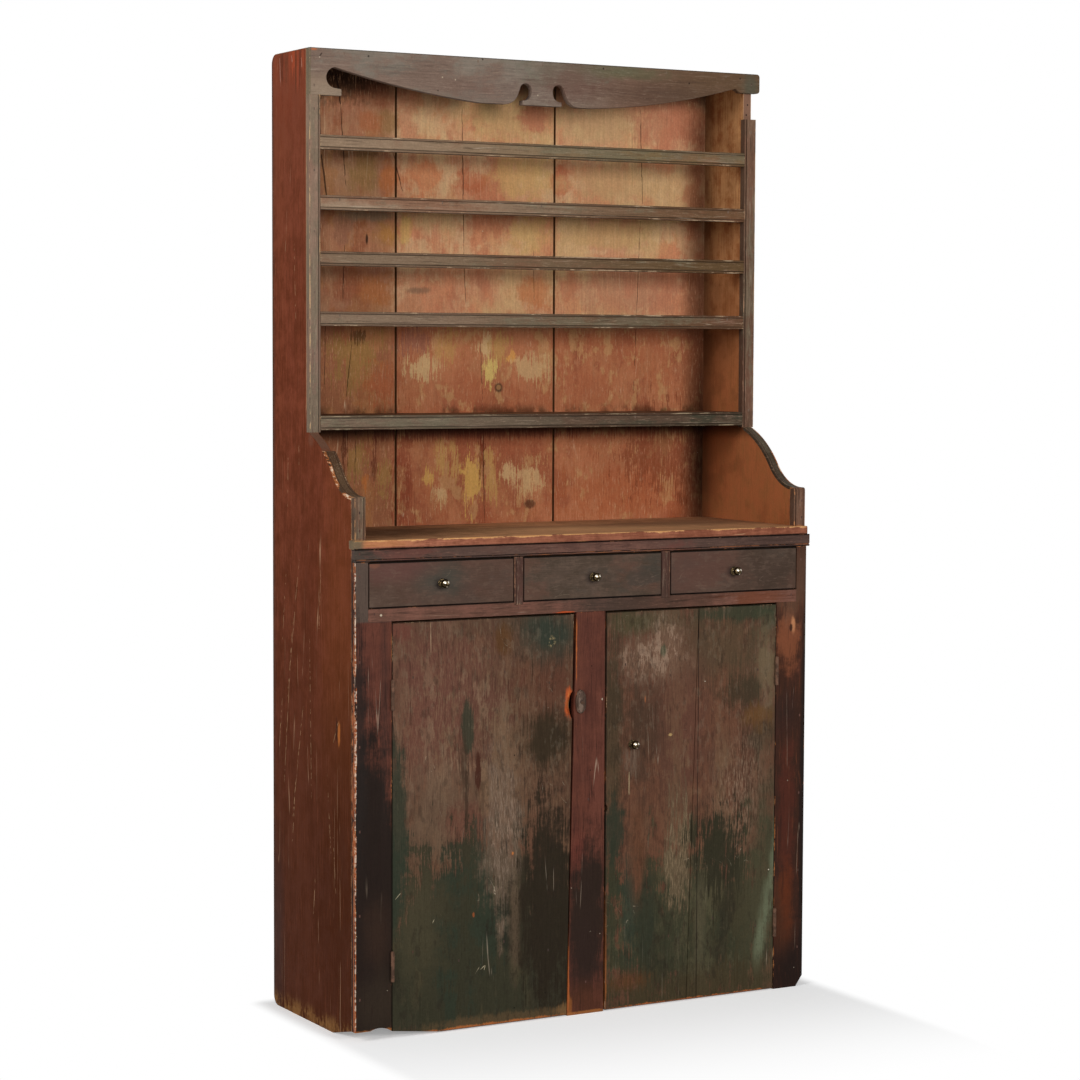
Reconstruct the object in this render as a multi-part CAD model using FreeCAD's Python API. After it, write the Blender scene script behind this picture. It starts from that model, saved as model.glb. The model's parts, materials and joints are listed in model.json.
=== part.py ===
"""Step back cupboard in painted pine, built piece by piece (millimetres, +Z up).

The origin is on the floor, in the middle of the footprint. +X is to the viewer's right and the
front faces -Y. Every board, rail, strip, hinge leaf, pin, knob and nail is a solid of its own.
"""
import FreeCAD, Part
import math
import os
from FreeCAD import Vector

# ---------------------------------------------------------------------------------------------
# Overall sizes
# ---------------------------------------------------------------------------------------------
height = 2110.0             # floor to the top of the frieze
width = 1143.0              # over the outer faces of the two side boards
depth = 419.0               # face of the lower front to the back of the back boards
step_back = 222.0           # how far the upper front stands behind the lower front
counter_height = 1067.0     # floor to the top of the counter

# Boards
side_thickness = 22.0
front_thickness = 18.0      # stiles, rails and strips of both fronts
back_thickness = 16.0
shelf_thickness = 17.0
top_thickness = 18.0
counter_thickness = 19.0
dado_depth = 6.0            # how far shelves, counter and top are let into the sides
back_rabbet_width = 10.0    # how far the back boards lap onto the sides

# Overhangs past the side boards' outer faces
counter_overhang_left = 6.0
counter_overhang_right = 3.0
rail_overhang_right = 12.0  # top rail and frieze run past the right side
stile_overhang_right = 3.0
strip_overhang_right = 2.0  # upper strip
cheek_inset_right = 2.0     # ogee and cheek strips stop short of the right side's face
counter_nosing = 8.0        # counter's front edge, ahead of the lower front
counter_corner = 6.0        # radius of the counter's worn corners

# Upper front
bead_radius = 2.4
quirk_width = 1.3           # groove between a bead and its flat
strip_width_left = 26.0
strip_width_right = 30.0
strip_break_drop = 105.0    # the right strip is broken off this far below the top
level_strip_height = 31.0       # shelf edges and plate rails
shelf_upper_drop = 313.0        # from the top of the frieze down to each shelf and plate rail
shelf_middle_drop = 562.5
shelf_lower_drop = 787.5
plate_rail_upper_drop = 184.0
plate_rail_lower_drop = 433.0

# Frieze, across from the side board's face and down from the top
hook_drop = 100.0
hook_reach = 76.0
hook_toe = 14.0
slot_centre_x = 62.0
slot_radius = 22.0
slot_drop = 62.0
swag_drop = 99.0
swag_low_left_x = 413.0
swag_left_end_x = 478.0
drop_centre_x = 572.0       # middle of the centre drop
drop_half_foot = 50.0
drop_half_neck = 27.0
drop_foot_height = 10.5
eye_width = 30.0            # round-headed cuts each side of the drop
eye_drop = 66.0             # where the cuts are widest
eye_top_drop = 51.0
eye_flare = 6.0
swag_low_right_x = 700.0
swag_right_end_x = 1088.0
swag_right_end_drop = 36.0
break_x = 1100.0            # past it the right hook is missing
break_drop = 44.5
frieze_corner = 7.0

# Ogee between the two fronts
cheek_height = 88.0         # from the counter up to the foot of the ogee
ogee_height = 132.0
ogee_top_angle = 20.5       # slopes below the horizontal, in degrees
ogee_middle_angle = 52.5
ogee_bottom_angle = 3.5
ogee_strip_thickness = 7.0
ogee_left_proud = 3.5       # the left ogee stands this much prouder than the right one
ogee_left_break_drop = 38.0     # the left ogee strip is broken off this far down
cheek_round = 6.0

# Lower front
stile_left_width = 86.0
stile_right_width = 80.0
stile_narrow_left = 31.0    # beside the drawers
stile_narrow_right = 26.0
top_rail_height = 27.5
drawer_opening_height = 98.0
drawer_rail_height = 28.5
divider_width = 22.0
divider_let_in = 6.0        # dividers are let into the drawer rail
divider_left_x = 392.5      # divider centres, from the left side's face
divider_right_x = 767.5
centre_stile_right_x = 611.0
centre_stile_top_width = 73.0
centre_stile_bottom_width = 93.0

# Worn feet
worn_foot_height = 22.0     # left stile and side, short by this
worn_wave_start = 36.0      # a wave worn into the stile's foot
worn_wave_middle = 60.0
worn_wave_rise = 4.5
worn_stile_inner = 17.5     # height of the foot at the stile's inner edge
worn_side_reach = 92.0      # how far back the left side's foot is worn
worn_door_reach = 115.0
worn_door_rise = 14.0
worn_right_width = 18.0
worn_right_height = 25.0
worn_back_corner = 22.0     # rounded back corners of the sides

# Back boards
back_joint_left_x = 296.0
back_joint_right_x = 707.0
back_gap = 4.5
back_lap = 9.0
back_foot_gap = 8.0         # back boards end this far above the floor

# Lower cupboard
bottom_board_top = 80.0
inner_shelf_top = 487.0
cleat_height = 25.0
cleat_width = 18.0
cleat_setback = 20.0

# Drawers and their runners
drawer_front_thickness = 20.0
drawer_front_gap = 1.5
drawer_lip = 8.0            # front laps this much over the ends of the sides
drawer_side_thickness = 12.0
drawer_side_height = 88.0
drawer_length = 372.0
drawer_bottom_thickness = 8.0
drawer_bottom_rise = 6.0    # bottom panel above the lower edge of the sides
drawer_groove = 5.0
runner_clearance = 0.2
runner_height = 24.0
runner_reach = 29.0         # how far a runner reaches under a drawer
guide_height = 20.0
back_rail_thickness = 18.0

# Doors
door_thickness = 17.7
door_hinge_gap = 1.6
door_top_gap = 4.0
door_floor_gap = 2.5
door_left_free_gap_top = 7.5
door_left_free_gap_bottom = 1.6
door_right_free_gap = 3.5
door_seam_top_x = 856.0     # joint of the right door's two boards
door_seam_bottom_x = 829.0
door_seam_gap = 1.0
batten_thickness = 18.0
batten_width = 75.0
batten_setback = 24.0       # batten ends, inside the door's edges
batten_lower_height = 130.0
batten_upper_drop = 174.0   # upper batten, below the drawer rail
finger_wear_drop = 204.0    # scoop worn into the left door's free edge, below the drawer rail
finger_wear_half = 30.0
finger_wear_radius = 43.7
bite_height = 455.0         # small bite in the right door's free edge
bite_radius = 11.0

# Butt hinges
hinge_height = 64.0
hinge_upper_drop = 189.0    # upper hinges, below the drawer rail
hinge_lower_height = 124.0
barrel_radius = 4.0
barrel_clearance = 0.2      # barrel to the wood, and knuckle to knuckle
pin_radius = 1.5
running_clearance = 0.05    # radial, pins and screws in their holes
pin_head_radius = 3.0
pin_head_height = 1.2
knuckle_count = 5
leaf_thickness = 1.3
leaf_gap = 0.4
leaf_depth = 20.0           # from the pin's axis to the leaf's inner edge
leaf_relief = 0.5           # leaf plate to the other leaf's knuckles

# Screws, nails, knobs and the turn button
screw_radius = 1.5
screw_head_radius = 2.9
screw_head_height = 0.9
screw_length = 13.0
nail_shank = 2.4
nail_head_width = 5.5
nail_head_height = 3.4
nail_head_thickness = 1.2
nail_length = 42.0
back_nail_length = 36.0
door_nail_length = 33.0
knob_reach = 24.0
knob_head_radius = 8.7
knob_neck_radius = 4.0
knob_base_radius = 10.0
knob_base_height = 2.0
knob_shank_radius = 2.2
knob_shank_length = 15.0
drawer_knob_drop = 50.0     # drawer knobs, below the top rail
door_knob_x = 682.0
door_knob_drop = 300.5      # below the drawer rail
turn_button_x = 547.0
turn_button_drop = 197.0    # below the drawer rail
turn_button_length = 52.0
turn_button_width = 23.0
turn_button_thickness = 10.0
turn_button_gap = 0.3
turn_screw_radius = 2.4
turn_screw_head_radius = 5.0
turn_screw_head_height = 1.6
turn_screw_depth = 15.0

# ---------------------------------------------------------------------------------------------
# Stations worked out from the sizes
# ---------------------------------------------------------------------------------------------
left = -(width + rail_overhang_right - counter_overhang_left) / 2
right = left + width
front = -(depth - knob_reach) / 2
back = front + depth

case_front = front + front_thickness            # lower front edge of the side boards
inner_back = back - back_thickness              # inner face of the back boards
upper_front = front + step_back                 # face of the upper strips
upper_case_front = upper_front + front_thickness
inner_left = left + side_thickness
inner_right = right - side_thickness

counter_bottom = counter_height - counter_thickness
top_rail_bottom = counter_bottom - top_rail_height
drawer_rail_top = top_rail_bottom - drawer_opening_height
drawer_rail_bottom = drawer_rail_top - drawer_rail_height
runner_back = inner_back - back_rail_thickness

shelf_upper_top = height - shelf_upper_drop
shelf_middle_top = height - shelf_middle_drop
shelf_lower_top = height - shelf_lower_drop
plate_rail_upper_top = height - plate_rail_upper_drop
plate_rail_lower_top = height - plate_rail_lower_drop
strip_break_height = height - strip_break_drop
ogee_bottom_height = counter_height + cheek_height
ogee_top_height = ogee_bottom_height + ogee_height
ogee_left_break_height = ogee_top_height - ogee_left_break_drop

batten_upper_height = drawer_rail_bottom - batten_upper_drop
finger_wear_height = drawer_rail_bottom - finger_wear_drop
hinge_upper_height = drawer_rail_bottom - hinge_upper_drop
drawer_knob_height = top_rail_bottom - drawer_knob_drop
door_knob_height = drawer_rail_bottom - door_knob_drop
turn_button_height = drawer_rail_bottom - turn_button_drop

strip_left_inner = left + strip_width_left
strip_right_outer = right + strip_overhang_right
strip_right_inner = strip_right_outer - strip_width_right
cheek_right_outer = right - cheek_inset_right
opening_left = left + stile_narrow_left
stile_right_outer = right + stile_overhang_right
opening_right = stile_right_outer - stile_narrow_right

door_left_hinge_edge = left + stile_left_width
door_right_hinge_edge = stile_right_outer - stile_right_width
centre_stile_right = left + centre_stile_right_x
centre_stile_left_top = centre_stile_right - centre_stile_top_width
centre_stile_left_bottom = centre_stile_right - centre_stile_bottom_width
door_top = drawer_rail_bottom - door_top_gap

hinge_heights = (hinge_lower_height, hinge_upper_height)
batten_heights = (batten_lower_height, batten_upper_height)
shelf_tops = {"upper": shelf_upper_top, "middle": shelf_middle_top, "lower": shelf_lower_top}
rail_tops = {"upper": plate_rail_upper_top, "lower": plate_rail_lower_top}
divider_centres = (left + divider_left_x, left + divider_right_x)


# ---------------------------------------------------------------------------------------------
# Shapes
# ---------------------------------------------------------------------------------------------
def board(x0, x1, y0, y1, z0, z1):
    """A square-edged board between two corners."""
    return Part.makeBox(x1 - x0, y1 - y0, z1 - z0, Vector(x0, y0, z0))


def edges_through(steps, place):
    """Edges for a list of steps: a pair is a corner, a triple holds an arc's middle and its end."""
    edges = []
    start = place(*steps[0])
    for step in steps[1:]:
        if len(step) == 2:
            end = place(*step)
            edges.append(Part.makeLine(start, end))
        else:
            middle, target, _ = step
            end = place(*target)
            edges.append(Part.Arc(start, place(*middle), end).toShape())
        start = end
    return edges


def arc_to(middle, end):
    """A step that reaches end by an arc through middle."""
    return (middle, end, "arc")


def sawn(steps, place, along):
    """A board sawn to an outline and extruded along a vector; the outline closes by itself."""
    closed = list(steps) + [steps[0]]
    wire = Part.Wire(edges_through(closed, place))
    return Part.Face(wire).extrude(along)


def side_outline(steps, x0, x1):
    """A plank in the YZ plane, from x0 to x1."""
    return sawn(steps, lambda y, z: Vector(x0, y, z), Vector(x1 - x0, 0, 0))


def front_outline(steps, y0, y1):
    """A plank in the XZ plane, from y0 to y1."""
    return sawn(steps, lambda x, z: Vector(x, y0, z), Vector(0, y1 - y0, 0))


def plan_outline(steps, z0, z1):
    """A plank in the XY plane, from z0 to z1."""
    return sawn(steps, lambda x, y: Vector(x, y, z0), Vector(0, 0, z1 - z0))


def beaded_section(strip_width, low_bead, high_bead):
    """Section of a strip: distance across it, and depth behind its face, with beaded edges."""
    r = bead_radius
    steps = [(0.0, front_thickness)]
    if low_bead:
        steps += [(0.0, r), arc_to((r, 0.0), (2 * r, r)), (2 * r + quirk_width, r)]
        steps += [(2 * r + quirk_width, 0.0)]
    else:
        steps += [(0.0, 0.0)]
    if high_bead:
        inner = strip_width - 2 * r
        steps += [(inner - quirk_width, 0.0), (inner - quirk_width, r), (inner, r)]
        steps += [arc_to((inner + r, 0.0), (strip_width, r))]
    else:
        steps += [(strip_width, 0.0)]
    steps += [(strip_width, front_thickness)]
    return steps


def level_strip(x0, x1, face_y, z0, strip_height, low_bead=True, high_bead=True):
    """A beaded strip that runs across the front."""
    section = beaded_section(strip_height, low_bead, high_bead)
    return sawn(section, lambda u, v: Vector(x0, face_y + v, z0 + u), Vector(x1 - x0, 0, 0))


def upright_strip(outer_x, inner_x, face_y, z0, z1):
    """A strip that stands on a side board's front edge, with a bead on its inner edge."""
    section = beaded_section(abs(inner_x - outer_x), False, True)
    turn = math.copysign(1.0, inner_x - outer_x)
    return sawn(section, lambda u, v: Vector(outer_x + turn * u, face_y + v, z0), Vector(0, 0, z1 - z0))


def rod(radius, length, start, direction):
    """A round rod."""
    return Part.makeCylinder(radius, length, start, direction)


def turned(profile, centre, axis_start):
    """A body turned about an axis along -Y; profile holds radius and distance out from the face."""
    steps = [(0.0, axis_start)] + profile
    place = lambda r, out: Vector(centre.x + r, centre.y - out, centre.z)
    wire = Part.Wire(edges_through(steps + [steps[0]], place))
    return Part.Face(wire).revolve(centre, Vector(0, 1, 0), 360)


def single(shape):
    """The one solid that a shape should be."""
    solids = shape.Solids
    if len(solids) != 1:
        raise ValueError("expected one solid, found %d" % len(solids))
    return solids[0]


def joined(*shapes):
    """Shapes fused into one solid."""
    whole = shapes[0]
    for shape in shapes[1:]:
        whole = whole.fuse(shape)
    return single(whole.removeSplitter())


# ---------------------------------------------------------------------------------------------
# Ogee, shared by the side boards and their strips
# ---------------------------------------------------------------------------------------------
def ogee_arcs():
    """Centres (y, z) and radii of the strip's two outer arcs, tangent where they meet."""
    top, middle, bottom = (math.radians(a) for a in (ogee_top_angle, ogee_middle_angle, ogee_bottom_angle))
    run = step_back - front_thickness
    drop = ogee_top_height - ogee_bottom_height
    a1 = math.sin(middle) - math.sin(top)
    a2 = math.sin(middle) - math.sin(bottom)
    b1 = math.cos(top) - math.cos(middle)
    b2 = math.cos(bottom) - math.cos(middle)
    determinant = a1 * b2 - a2 * b1
    shoulder = (run * b2 - a2 * drop) / determinant
    hollow = (a1 * drop - run * b1) / determinant
    c1 = (upper_front + shoulder * math.sin(top), ogee_top_height - shoulder * math.cos(top))
    reach = shoulder + hollow
    c2 = (c1[0] - reach * math.sin(middle), c1[1] + reach * math.cos(middle))
    return c1, shoulder, c2, hollow


def ogee_points(inset):
    """Start, shoulder middle, turn, hollow middle and end of the ogee, inset from its outer line."""
    c1, shoulder, c2, hollow = ogee_arcs()
    top, middle, bottom = (math.radians(a) for a in (ogee_top_angle, ogee_middle_angle, ogee_bottom_angle))

    def on_shoulder(angle):
        radius = shoulder - inset
        return (c1[0] - radius * math.sin(angle), c1[1] + radius * math.cos(angle))

    def on_hollow(angle):
        radius = hollow + inset
        return (c2[0] + radius * math.sin(angle), c2[1] - radius * math.cos(angle))

    return (on_shoulder(top), on_shoulder((top + middle) / 2), on_shoulder(middle),
            on_hollow((middle + bottom) / 2), on_hollow(bottom))


# ---------------------------------------------------------------------------------------------
# Side boards
# ---------------------------------------------------------------------------------------------
def side_profile(foot, proud):
    """Outline of a side board from the back bottom corner, round the ogee, to the worn foot."""
    start, shoulder_mid, turn, hollow_mid, end = ogee_points(ogee_strip_thickness - proud)
    corner = worn_back_corner
    bulge = corner * (1 - math.sqrt(0.5))
    steps = [(back - corner, 0.0), arc_to((back - bulge, bulge), (back, corner))]
    steps += [(back, height - corner)]
    steps += [arc_to((back - bulge, height - bulge), (back - corner, height))]
    steps += [(upper_case_front, height), (upper_case_front, ogee_top_height)]
    steps += [(start[0], ogee_top_height), start, arc_to(shoulder_mid, turn), arc_to(hollow_mid, end)]
    steps += [(case_front, end[1])]
    return steps + foot


def let_in(side, x0, x1):
    """Cut the dados for shelves, counter and top, and the rabbet for the back boards."""
    cuts = [board(x0, x1, inner_back, back, 0.0, height)]
    for top in shelf_tops.values():
        cuts.append(board(x0, x1, upper_case_front, inner_back, top - shelf_thickness, top))
    cuts.append(board(x0, x1, case_front, inner_back, counter_bottom, counter_height))
    cuts.append(board(x0, x1, upper_case_front, inner_back, height - top_thickness, height))
    return cuts


def side_left():
    foot = [(case_front, worn_foot_height), (case_front + worn_side_reach, 0.0)]
    plank = side_outline(side_profile(foot, ogee_left_proud), left, inner_left)
    rabbet, *dados = let_in(plank, inner_left - back_rabbet_width, inner_left)
    for dado in dados:
        dado.translate(Vector(back_rabbet_width - dado_depth, 0, 0))
    return single(plank.cut(dados + [rabbet]))


def side_right():
    foot = [(case_front, 0.0)]
    plank = side_outline(side_profile(foot, 0.0), inner_right, right)
    rabbet, *dados = let_in(plank, inner_right, inner_right + back_rabbet_width)
    for dado in dados:
        dado.translate(Vector(dado_depth - back_rabbet_width, 0, 0))
    return single(plank.cut(dados + [rabbet]))


# ---------------------------------------------------------------------------------------------
# Top, shelves and back
# ---------------------------------------------------------------------------------------------
def let_in_board(y0, y1, z0, z1):
    """A board whose two ends are let into the sides."""
    return board(inner_left - dado_depth, inner_right + dado_depth, y0, y1, z0, z1)


def top_board():
    return let_in_board(upper_case_front, inner_back, height - top_thickness, height)


def shelf(top):
    return let_in_board(upper_case_front, inner_back, top - shelf_thickness, top)


def shelf_edge(top):
    return level_strip(strip_left_inner, strip_right_inner, upper_front, top - level_strip_height,
                       level_strip_height)


def backboards():
    """Three boards; each but the last has a tongue that laps behind the next one."""
    middle = inner_back + back_thickness / 2
    joints = (left + back_joint_left_x, left + back_joint_right_x)
    starts = (inner_left - back_rabbet_width, joints[0] + back_gap / 2, joints[1] + back_gap / 2)
    ends = (joints[0] - back_gap / 2, joints[1] - back_gap / 2, inner_right + back_rabbet_width)
    boards = []
    for index, (x0, x1) in enumerate(zip(starts, ends)):
        rear_start = x0 if index == 0 else x0 + back_lap + back_gap
        rear_end = x1 if index == 2 else x1 + back_gap + back_lap
        plan = [(x0, inner_back), (x1, inner_back), (x1, middle), (rear_end, middle)]
        plan += [(rear_end, back), (rear_start, back), (rear_start, middle), (x0, middle)]
        plan = [p for i, p in enumerate(plan) if p != plan[i - 1]]
        if index == 0:
            plan.remove((rear_start, middle))
        if index == 2:
            plan.remove((x1, middle))
        boards.append(plan_outline(plan, back_foot_gap, height))
    return boards


# ---------------------------------------------------------------------------------------------
# Upper front
# ---------------------------------------------------------------------------------------------
def frieze_at(x, drop):
    """A point of the frieze: distance from the left side's face, and drop from the top."""
    return (left + x, height - drop)


def eye(side):
    """Points of the cut beside the centre drop, from the swag to the drop's foot (-1 is the left)."""
    def at(reach, drop):
        return frieze_at(drop_centre_x + side * reach, drop)

    far = drop_half_neck + eye_width
    return (at(far + eye_flare * 6, swag_drop), at(far + eye_flare * 3, swag_drop - 6.0),
            at(far + eye_flare, eye_drop + 13.0), at(far, eye_drop - 3.0),
            at(drop_half_neck + eye_width / 2, eye_top_drop), at(drop_half_neck, eye_drop + 2.0),
            at(drop_half_neck + 6.5, swag_drop - drop_foot_height - 4.5),
            at(drop_half_foot, swag_drop - drop_foot_height))


def frieze_board():
    """Sawn board: left hook, slot, left swag, centre drop between two eyes, right swag, break."""
    end_x = width + rail_overhang_right
    corner = frieze_corner
    bulge = corner * (1 - math.sqrt(0.5))
    slot_top = slot_drop - slot_radius
    swag_left_middle = frieze_at((slot_centre_x + swag_low_left_x) / 2, (slot_top + swag_drop) / 2 + 7.0)
    swag_right_middle = frieze_at((swag_low_right_x + swag_right_end_x) / 2,
                                  (swag_drop + swag_right_end_drop) / 2 + 11.0)
    steps = [frieze_at(0.0, 0.0), frieze_at(0.0, hook_drop), frieze_at(hook_reach, hook_drop)]
    steps += [frieze_at(hook_reach, hook_drop - hook_toe), frieze_at(slot_centre_x, slot_drop + slot_radius)]
    steps += [arc_to(frieze_at(slot_centre_x - slot_radius, slot_drop), frieze_at(slot_centre_x, slot_top))]
    steps += [arc_to(swag_left_middle, frieze_at(swag_low_left_x, swag_drop))]

    swag, turn, outer_low, outer_high, top, neck, under, foot = eye(-1)
    steps += [swag, arc_to(turn, outer_low), outer_high, arc_to(top, neck), arc_to(under, foot)]
    steps += [frieze_at(drop_centre_x - drop_half_foot, swag_drop)]
    steps += [frieze_at(drop_centre_x + drop_half_foot, swag_drop)]
    swag, turn, outer_low, outer_high, top, neck, under, foot = eye(1)
    steps += [foot, arc_to(under, neck), arc_to(top, outer_high), outer_low, arc_to(turn, swag)]

    steps += [frieze_at(swag_low_right_x, swag_drop)]
    steps += [arc_to(swag_right_middle, frieze_at(swag_right_end_x, swag_right_end_drop))]
    steps += [frieze_at(break_x, break_drop), frieze_at(end_x - corner, break_drop)]
    steps += [arc_to(frieze_at(end_x - bulge, break_drop - bulge), frieze_at(end_x, break_drop - corner))]
    steps += [frieze_at(end_x, corner), arc_to(frieze_at(end_x - bulge, bulge), frieze_at(end_x - corner, 0.0))]
    return single(front_outline(steps, upper_front, upper_case_front))


def face_strip_left():
    top = height - hook_drop
    return upright_strip(left, strip_left_inner, upper_front, ogee_top_height, top)


def face_strip_right():
    return upright_strip(strip_right_outer, strip_right_inner, upper_front, ogee_top_height,
                         strip_break_height)


def ogee_strip(x0, x1, proud, top):
    """Thin strip bent over the ogee's edge; nothing of it is left above top."""
    outer = ogee_points(-proud)
    inner = ogee_points(ogee_strip_thickness - proud)
    steps = [outer[0], arc_to(outer[1], outer[2]), arc_to(outer[3], outer[4])]
    steps += [(case_front, inner[4][1]), inner[4]]
    steps += [arc_to(inner[3], inner[2]), arc_to(inner[1], inner[0]), (inner[0][0], ogee_top_height)]
    whole = side_outline(steps, x0, x1)
    return single(whole.common(board(x0, x1, case_front, back, 0.0, top)))


def cheek_strip(outer_x, inner_x, proud):
    """Beaded strip from the counter to the ogee, with its top front arris rounded."""
    top = ogee_bottom_height + proud
    x0, x1 = sorted((outer_x, inner_x))
    strip = upright_strip(outer_x, inner_x, front, counter_height, top)
    corner = board(x0, x1, front, front + cheek_round, top - cheek_round, top)
    centre = Vector(x0, front + cheek_round, top - cheek_round)
    return single(strip.cut(corner.cut(rod(cheek_round, x1 - x0, centre, Vector(1, 0, 0)))))


# ---------------------------------------------------------------------------------------------
# Lower front
# ---------------------------------------------------------------------------------------------
def counter_board():
    """Counter between the sides, with horns that pass in front of them."""
    nose = front - counter_nosing
    end_left = left - counter_overhang_left
    end_right = right + counter_overhang_right
    r = counter_corner
    bulge = r * (1 - math.sqrt(0.5))
    plan = [(end_left, case_front), (end_left, nose + r)]
    plan += [arc_to((end_left + bulge, nose + bulge), (end_left + r, nose)), (end_right - r, nose)]
    plan += [arc_to((end_right - bulge, nose + bulge), (end_right, nose + r)), (end_right, case_front)]
    plan += [(inner_right + dado_depth, case_front), (inner_right + dado_depth, inner_back)]
    plan += [(inner_left - dado_depth, inner_back), (inner_left - dado_depth, case_front)]
    return single(plan_outline(plan, counter_bottom, counter_height))


def top_rail():
    return level_strip(left, right + rail_overhang_right, front, top_rail_bottom, top_rail_height,
                       low_bead=True, high_bead=False)


def divider_solids():
    half = divider_width / 2
    return [board(x - half, x + half, front, case_front, drawer_rail_top - divider_let_in, top_rail_bottom)
            for x in divider_centres]


def drawer_rail():
    rail = board(opening_left, opening_right, front, case_front, drawer_rail_bottom, drawer_rail_top)
    return single(rail.cut(divider_solids()))


def stile_left():
    """L-shaped upright: narrow beside the drawers, with a worn foot."""
    wave_top = (left + worn_wave_middle, worn_foot_height + worn_wave_rise)
    steps = [(left, worn_foot_height), (left + worn_wave_start, worn_foot_height)]
    steps += [arc_to(wave_top, (door_left_hinge_edge, worn_stile_inner))]
    steps += [(door_left_hinge_edge, drawer_rail_bottom), (opening_left, drawer_rail_bottom)]
    steps += [(opening_left, top_rail_bottom), (left, top_rail_bottom)]
    return front_outline(steps, front, case_front)


def stile_right():
    outer = stile_right_outer
    steps = [(outer - worn_right_width, 0.0), (outer, worn_right_height), (outer, top_rail_bottom)]
    steps += [(opening_right, top_rail_bottom), (opening_right, drawer_rail_bottom)]
    steps += [(door_right_hinge_edge, drawer_rail_bottom), (door_right_hinge_edge, 0.0)]
    return front_outline(steps, front, case_front)


def centre_stile():
    steps = [(centre_stile_left_bottom, 0.0), (centre_stile_right, 0.0)]
    steps += [(centre_stile_right, drawer_rail_bottom), (centre_stile_left_top, drawer_rail_bottom)]
    return front_outline(steps, front, case_front)


def centre_stile_left_at(z):
    """X of the centre stile's leaning left edge at a height."""
    lean = centre_stile_left_top - centre_stile_left_bottom
    return centre_stile_left_bottom + lean * z / drawer_rail_bottom


# ---------------------------------------------------------------------------------------------
# Inside the lower case
# ---------------------------------------------------------------------------------------------
def drawer_runners():
    """Four runners, each with a guide nailed on top that keeps its drawers straight."""
    z0 = drawer_rail_top - runner_height
    half = divider_width / 2
    bases = [(inner_left, opening_left + runner_reach), (opening_right - runner_reach, inner_right)]
    guides = [(inner_left, opening_left), (opening_right, inner_right)]
    for x in divider_centres:
        bases.append((x - half - runner_reach, x + half + runner_reach))
        guides.append((x - half, x + half))
    runners = [board(x0, x1, case_front, runner_back, z0, drawer_rail_top) for x0, x1 in bases]
    runners += [board(x0, x1, case_front, runner_back, drawer_rail_top, drawer_rail_top + guide_height)
                for x0, x1 in guides]
    return runners


def runner_back_rail():
    return board(inner_left, inner_right, runner_back, inner_back, drawer_rail_bottom, drawer_rail_top)


def level_board(top):
    return board(inner_left, inner_right, case_front, inner_back, top - shelf_thickness, top)


def shelf_cleats():
    cleats = []
    for top in (bottom_board_top, inner_shelf_top):
        z1 = top - shelf_thickness
        y0 = case_front + cleat_setback
        cleats.append(board(inner_left, inner_left + cleat_width, y0, inner_back, z1 - cleat_height, z1))
        cleats.append(board(inner_right - cleat_width, inner_right, y0, inner_back, z1 - cleat_height, z1))
    return cleats


# ---------------------------------------------------------------------------------------------
# Fasteners
# ---------------------------------------------------------------------------------------------
def nail_along_y(x, z, face_y, inward, length):
    """Cut nail with a rectangular head, driven from face_y along inward (+1 is towards the back)."""
    def slab(half_x, half_z, depth_in):
        ends = sorted((face_y, face_y + inward * depth_in))
        return board(x - half_x, x + half_x, ends[0], ends[1], z - half_z, z + half_z)

    head = slab(nail_head_height / 2, nail_head_width / 2, nail_head_thickness)
    return joined(head, slab(nail_shank / 2, nail_shank / 2, length))


def screw_solid(face, direction, extra=0.0, head_radius=screw_head_radius, radius=screw_radius,
                length=screw_length, head_height=screw_head_height):
    """Countersunk screw whose flat head lies in a face; extra widens it into its hole."""
    head = Part.makeCone(head_radius + extra, radius + extra, head_height, face, direction)
    shank = rod(radius + extra, length + extra, face, direction)
    return joined(head, shank)


def drive(pieces, fixings):
    """Cut each fixing's hole in the pieces that it passes through."""
    drilled = []
    for piece in pieces:
        holes = [f for f in fixings if f.BoundBox.intersect(piece.BoundBox)]
        drilled.append(single(piece.cut(holes)) if holes else piece)
    return drilled


def spread(start, end, count):
    """Evenly spaced stations."""
    return [start + (end - start) * i / (count - 1) for i in range(count)]


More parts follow.
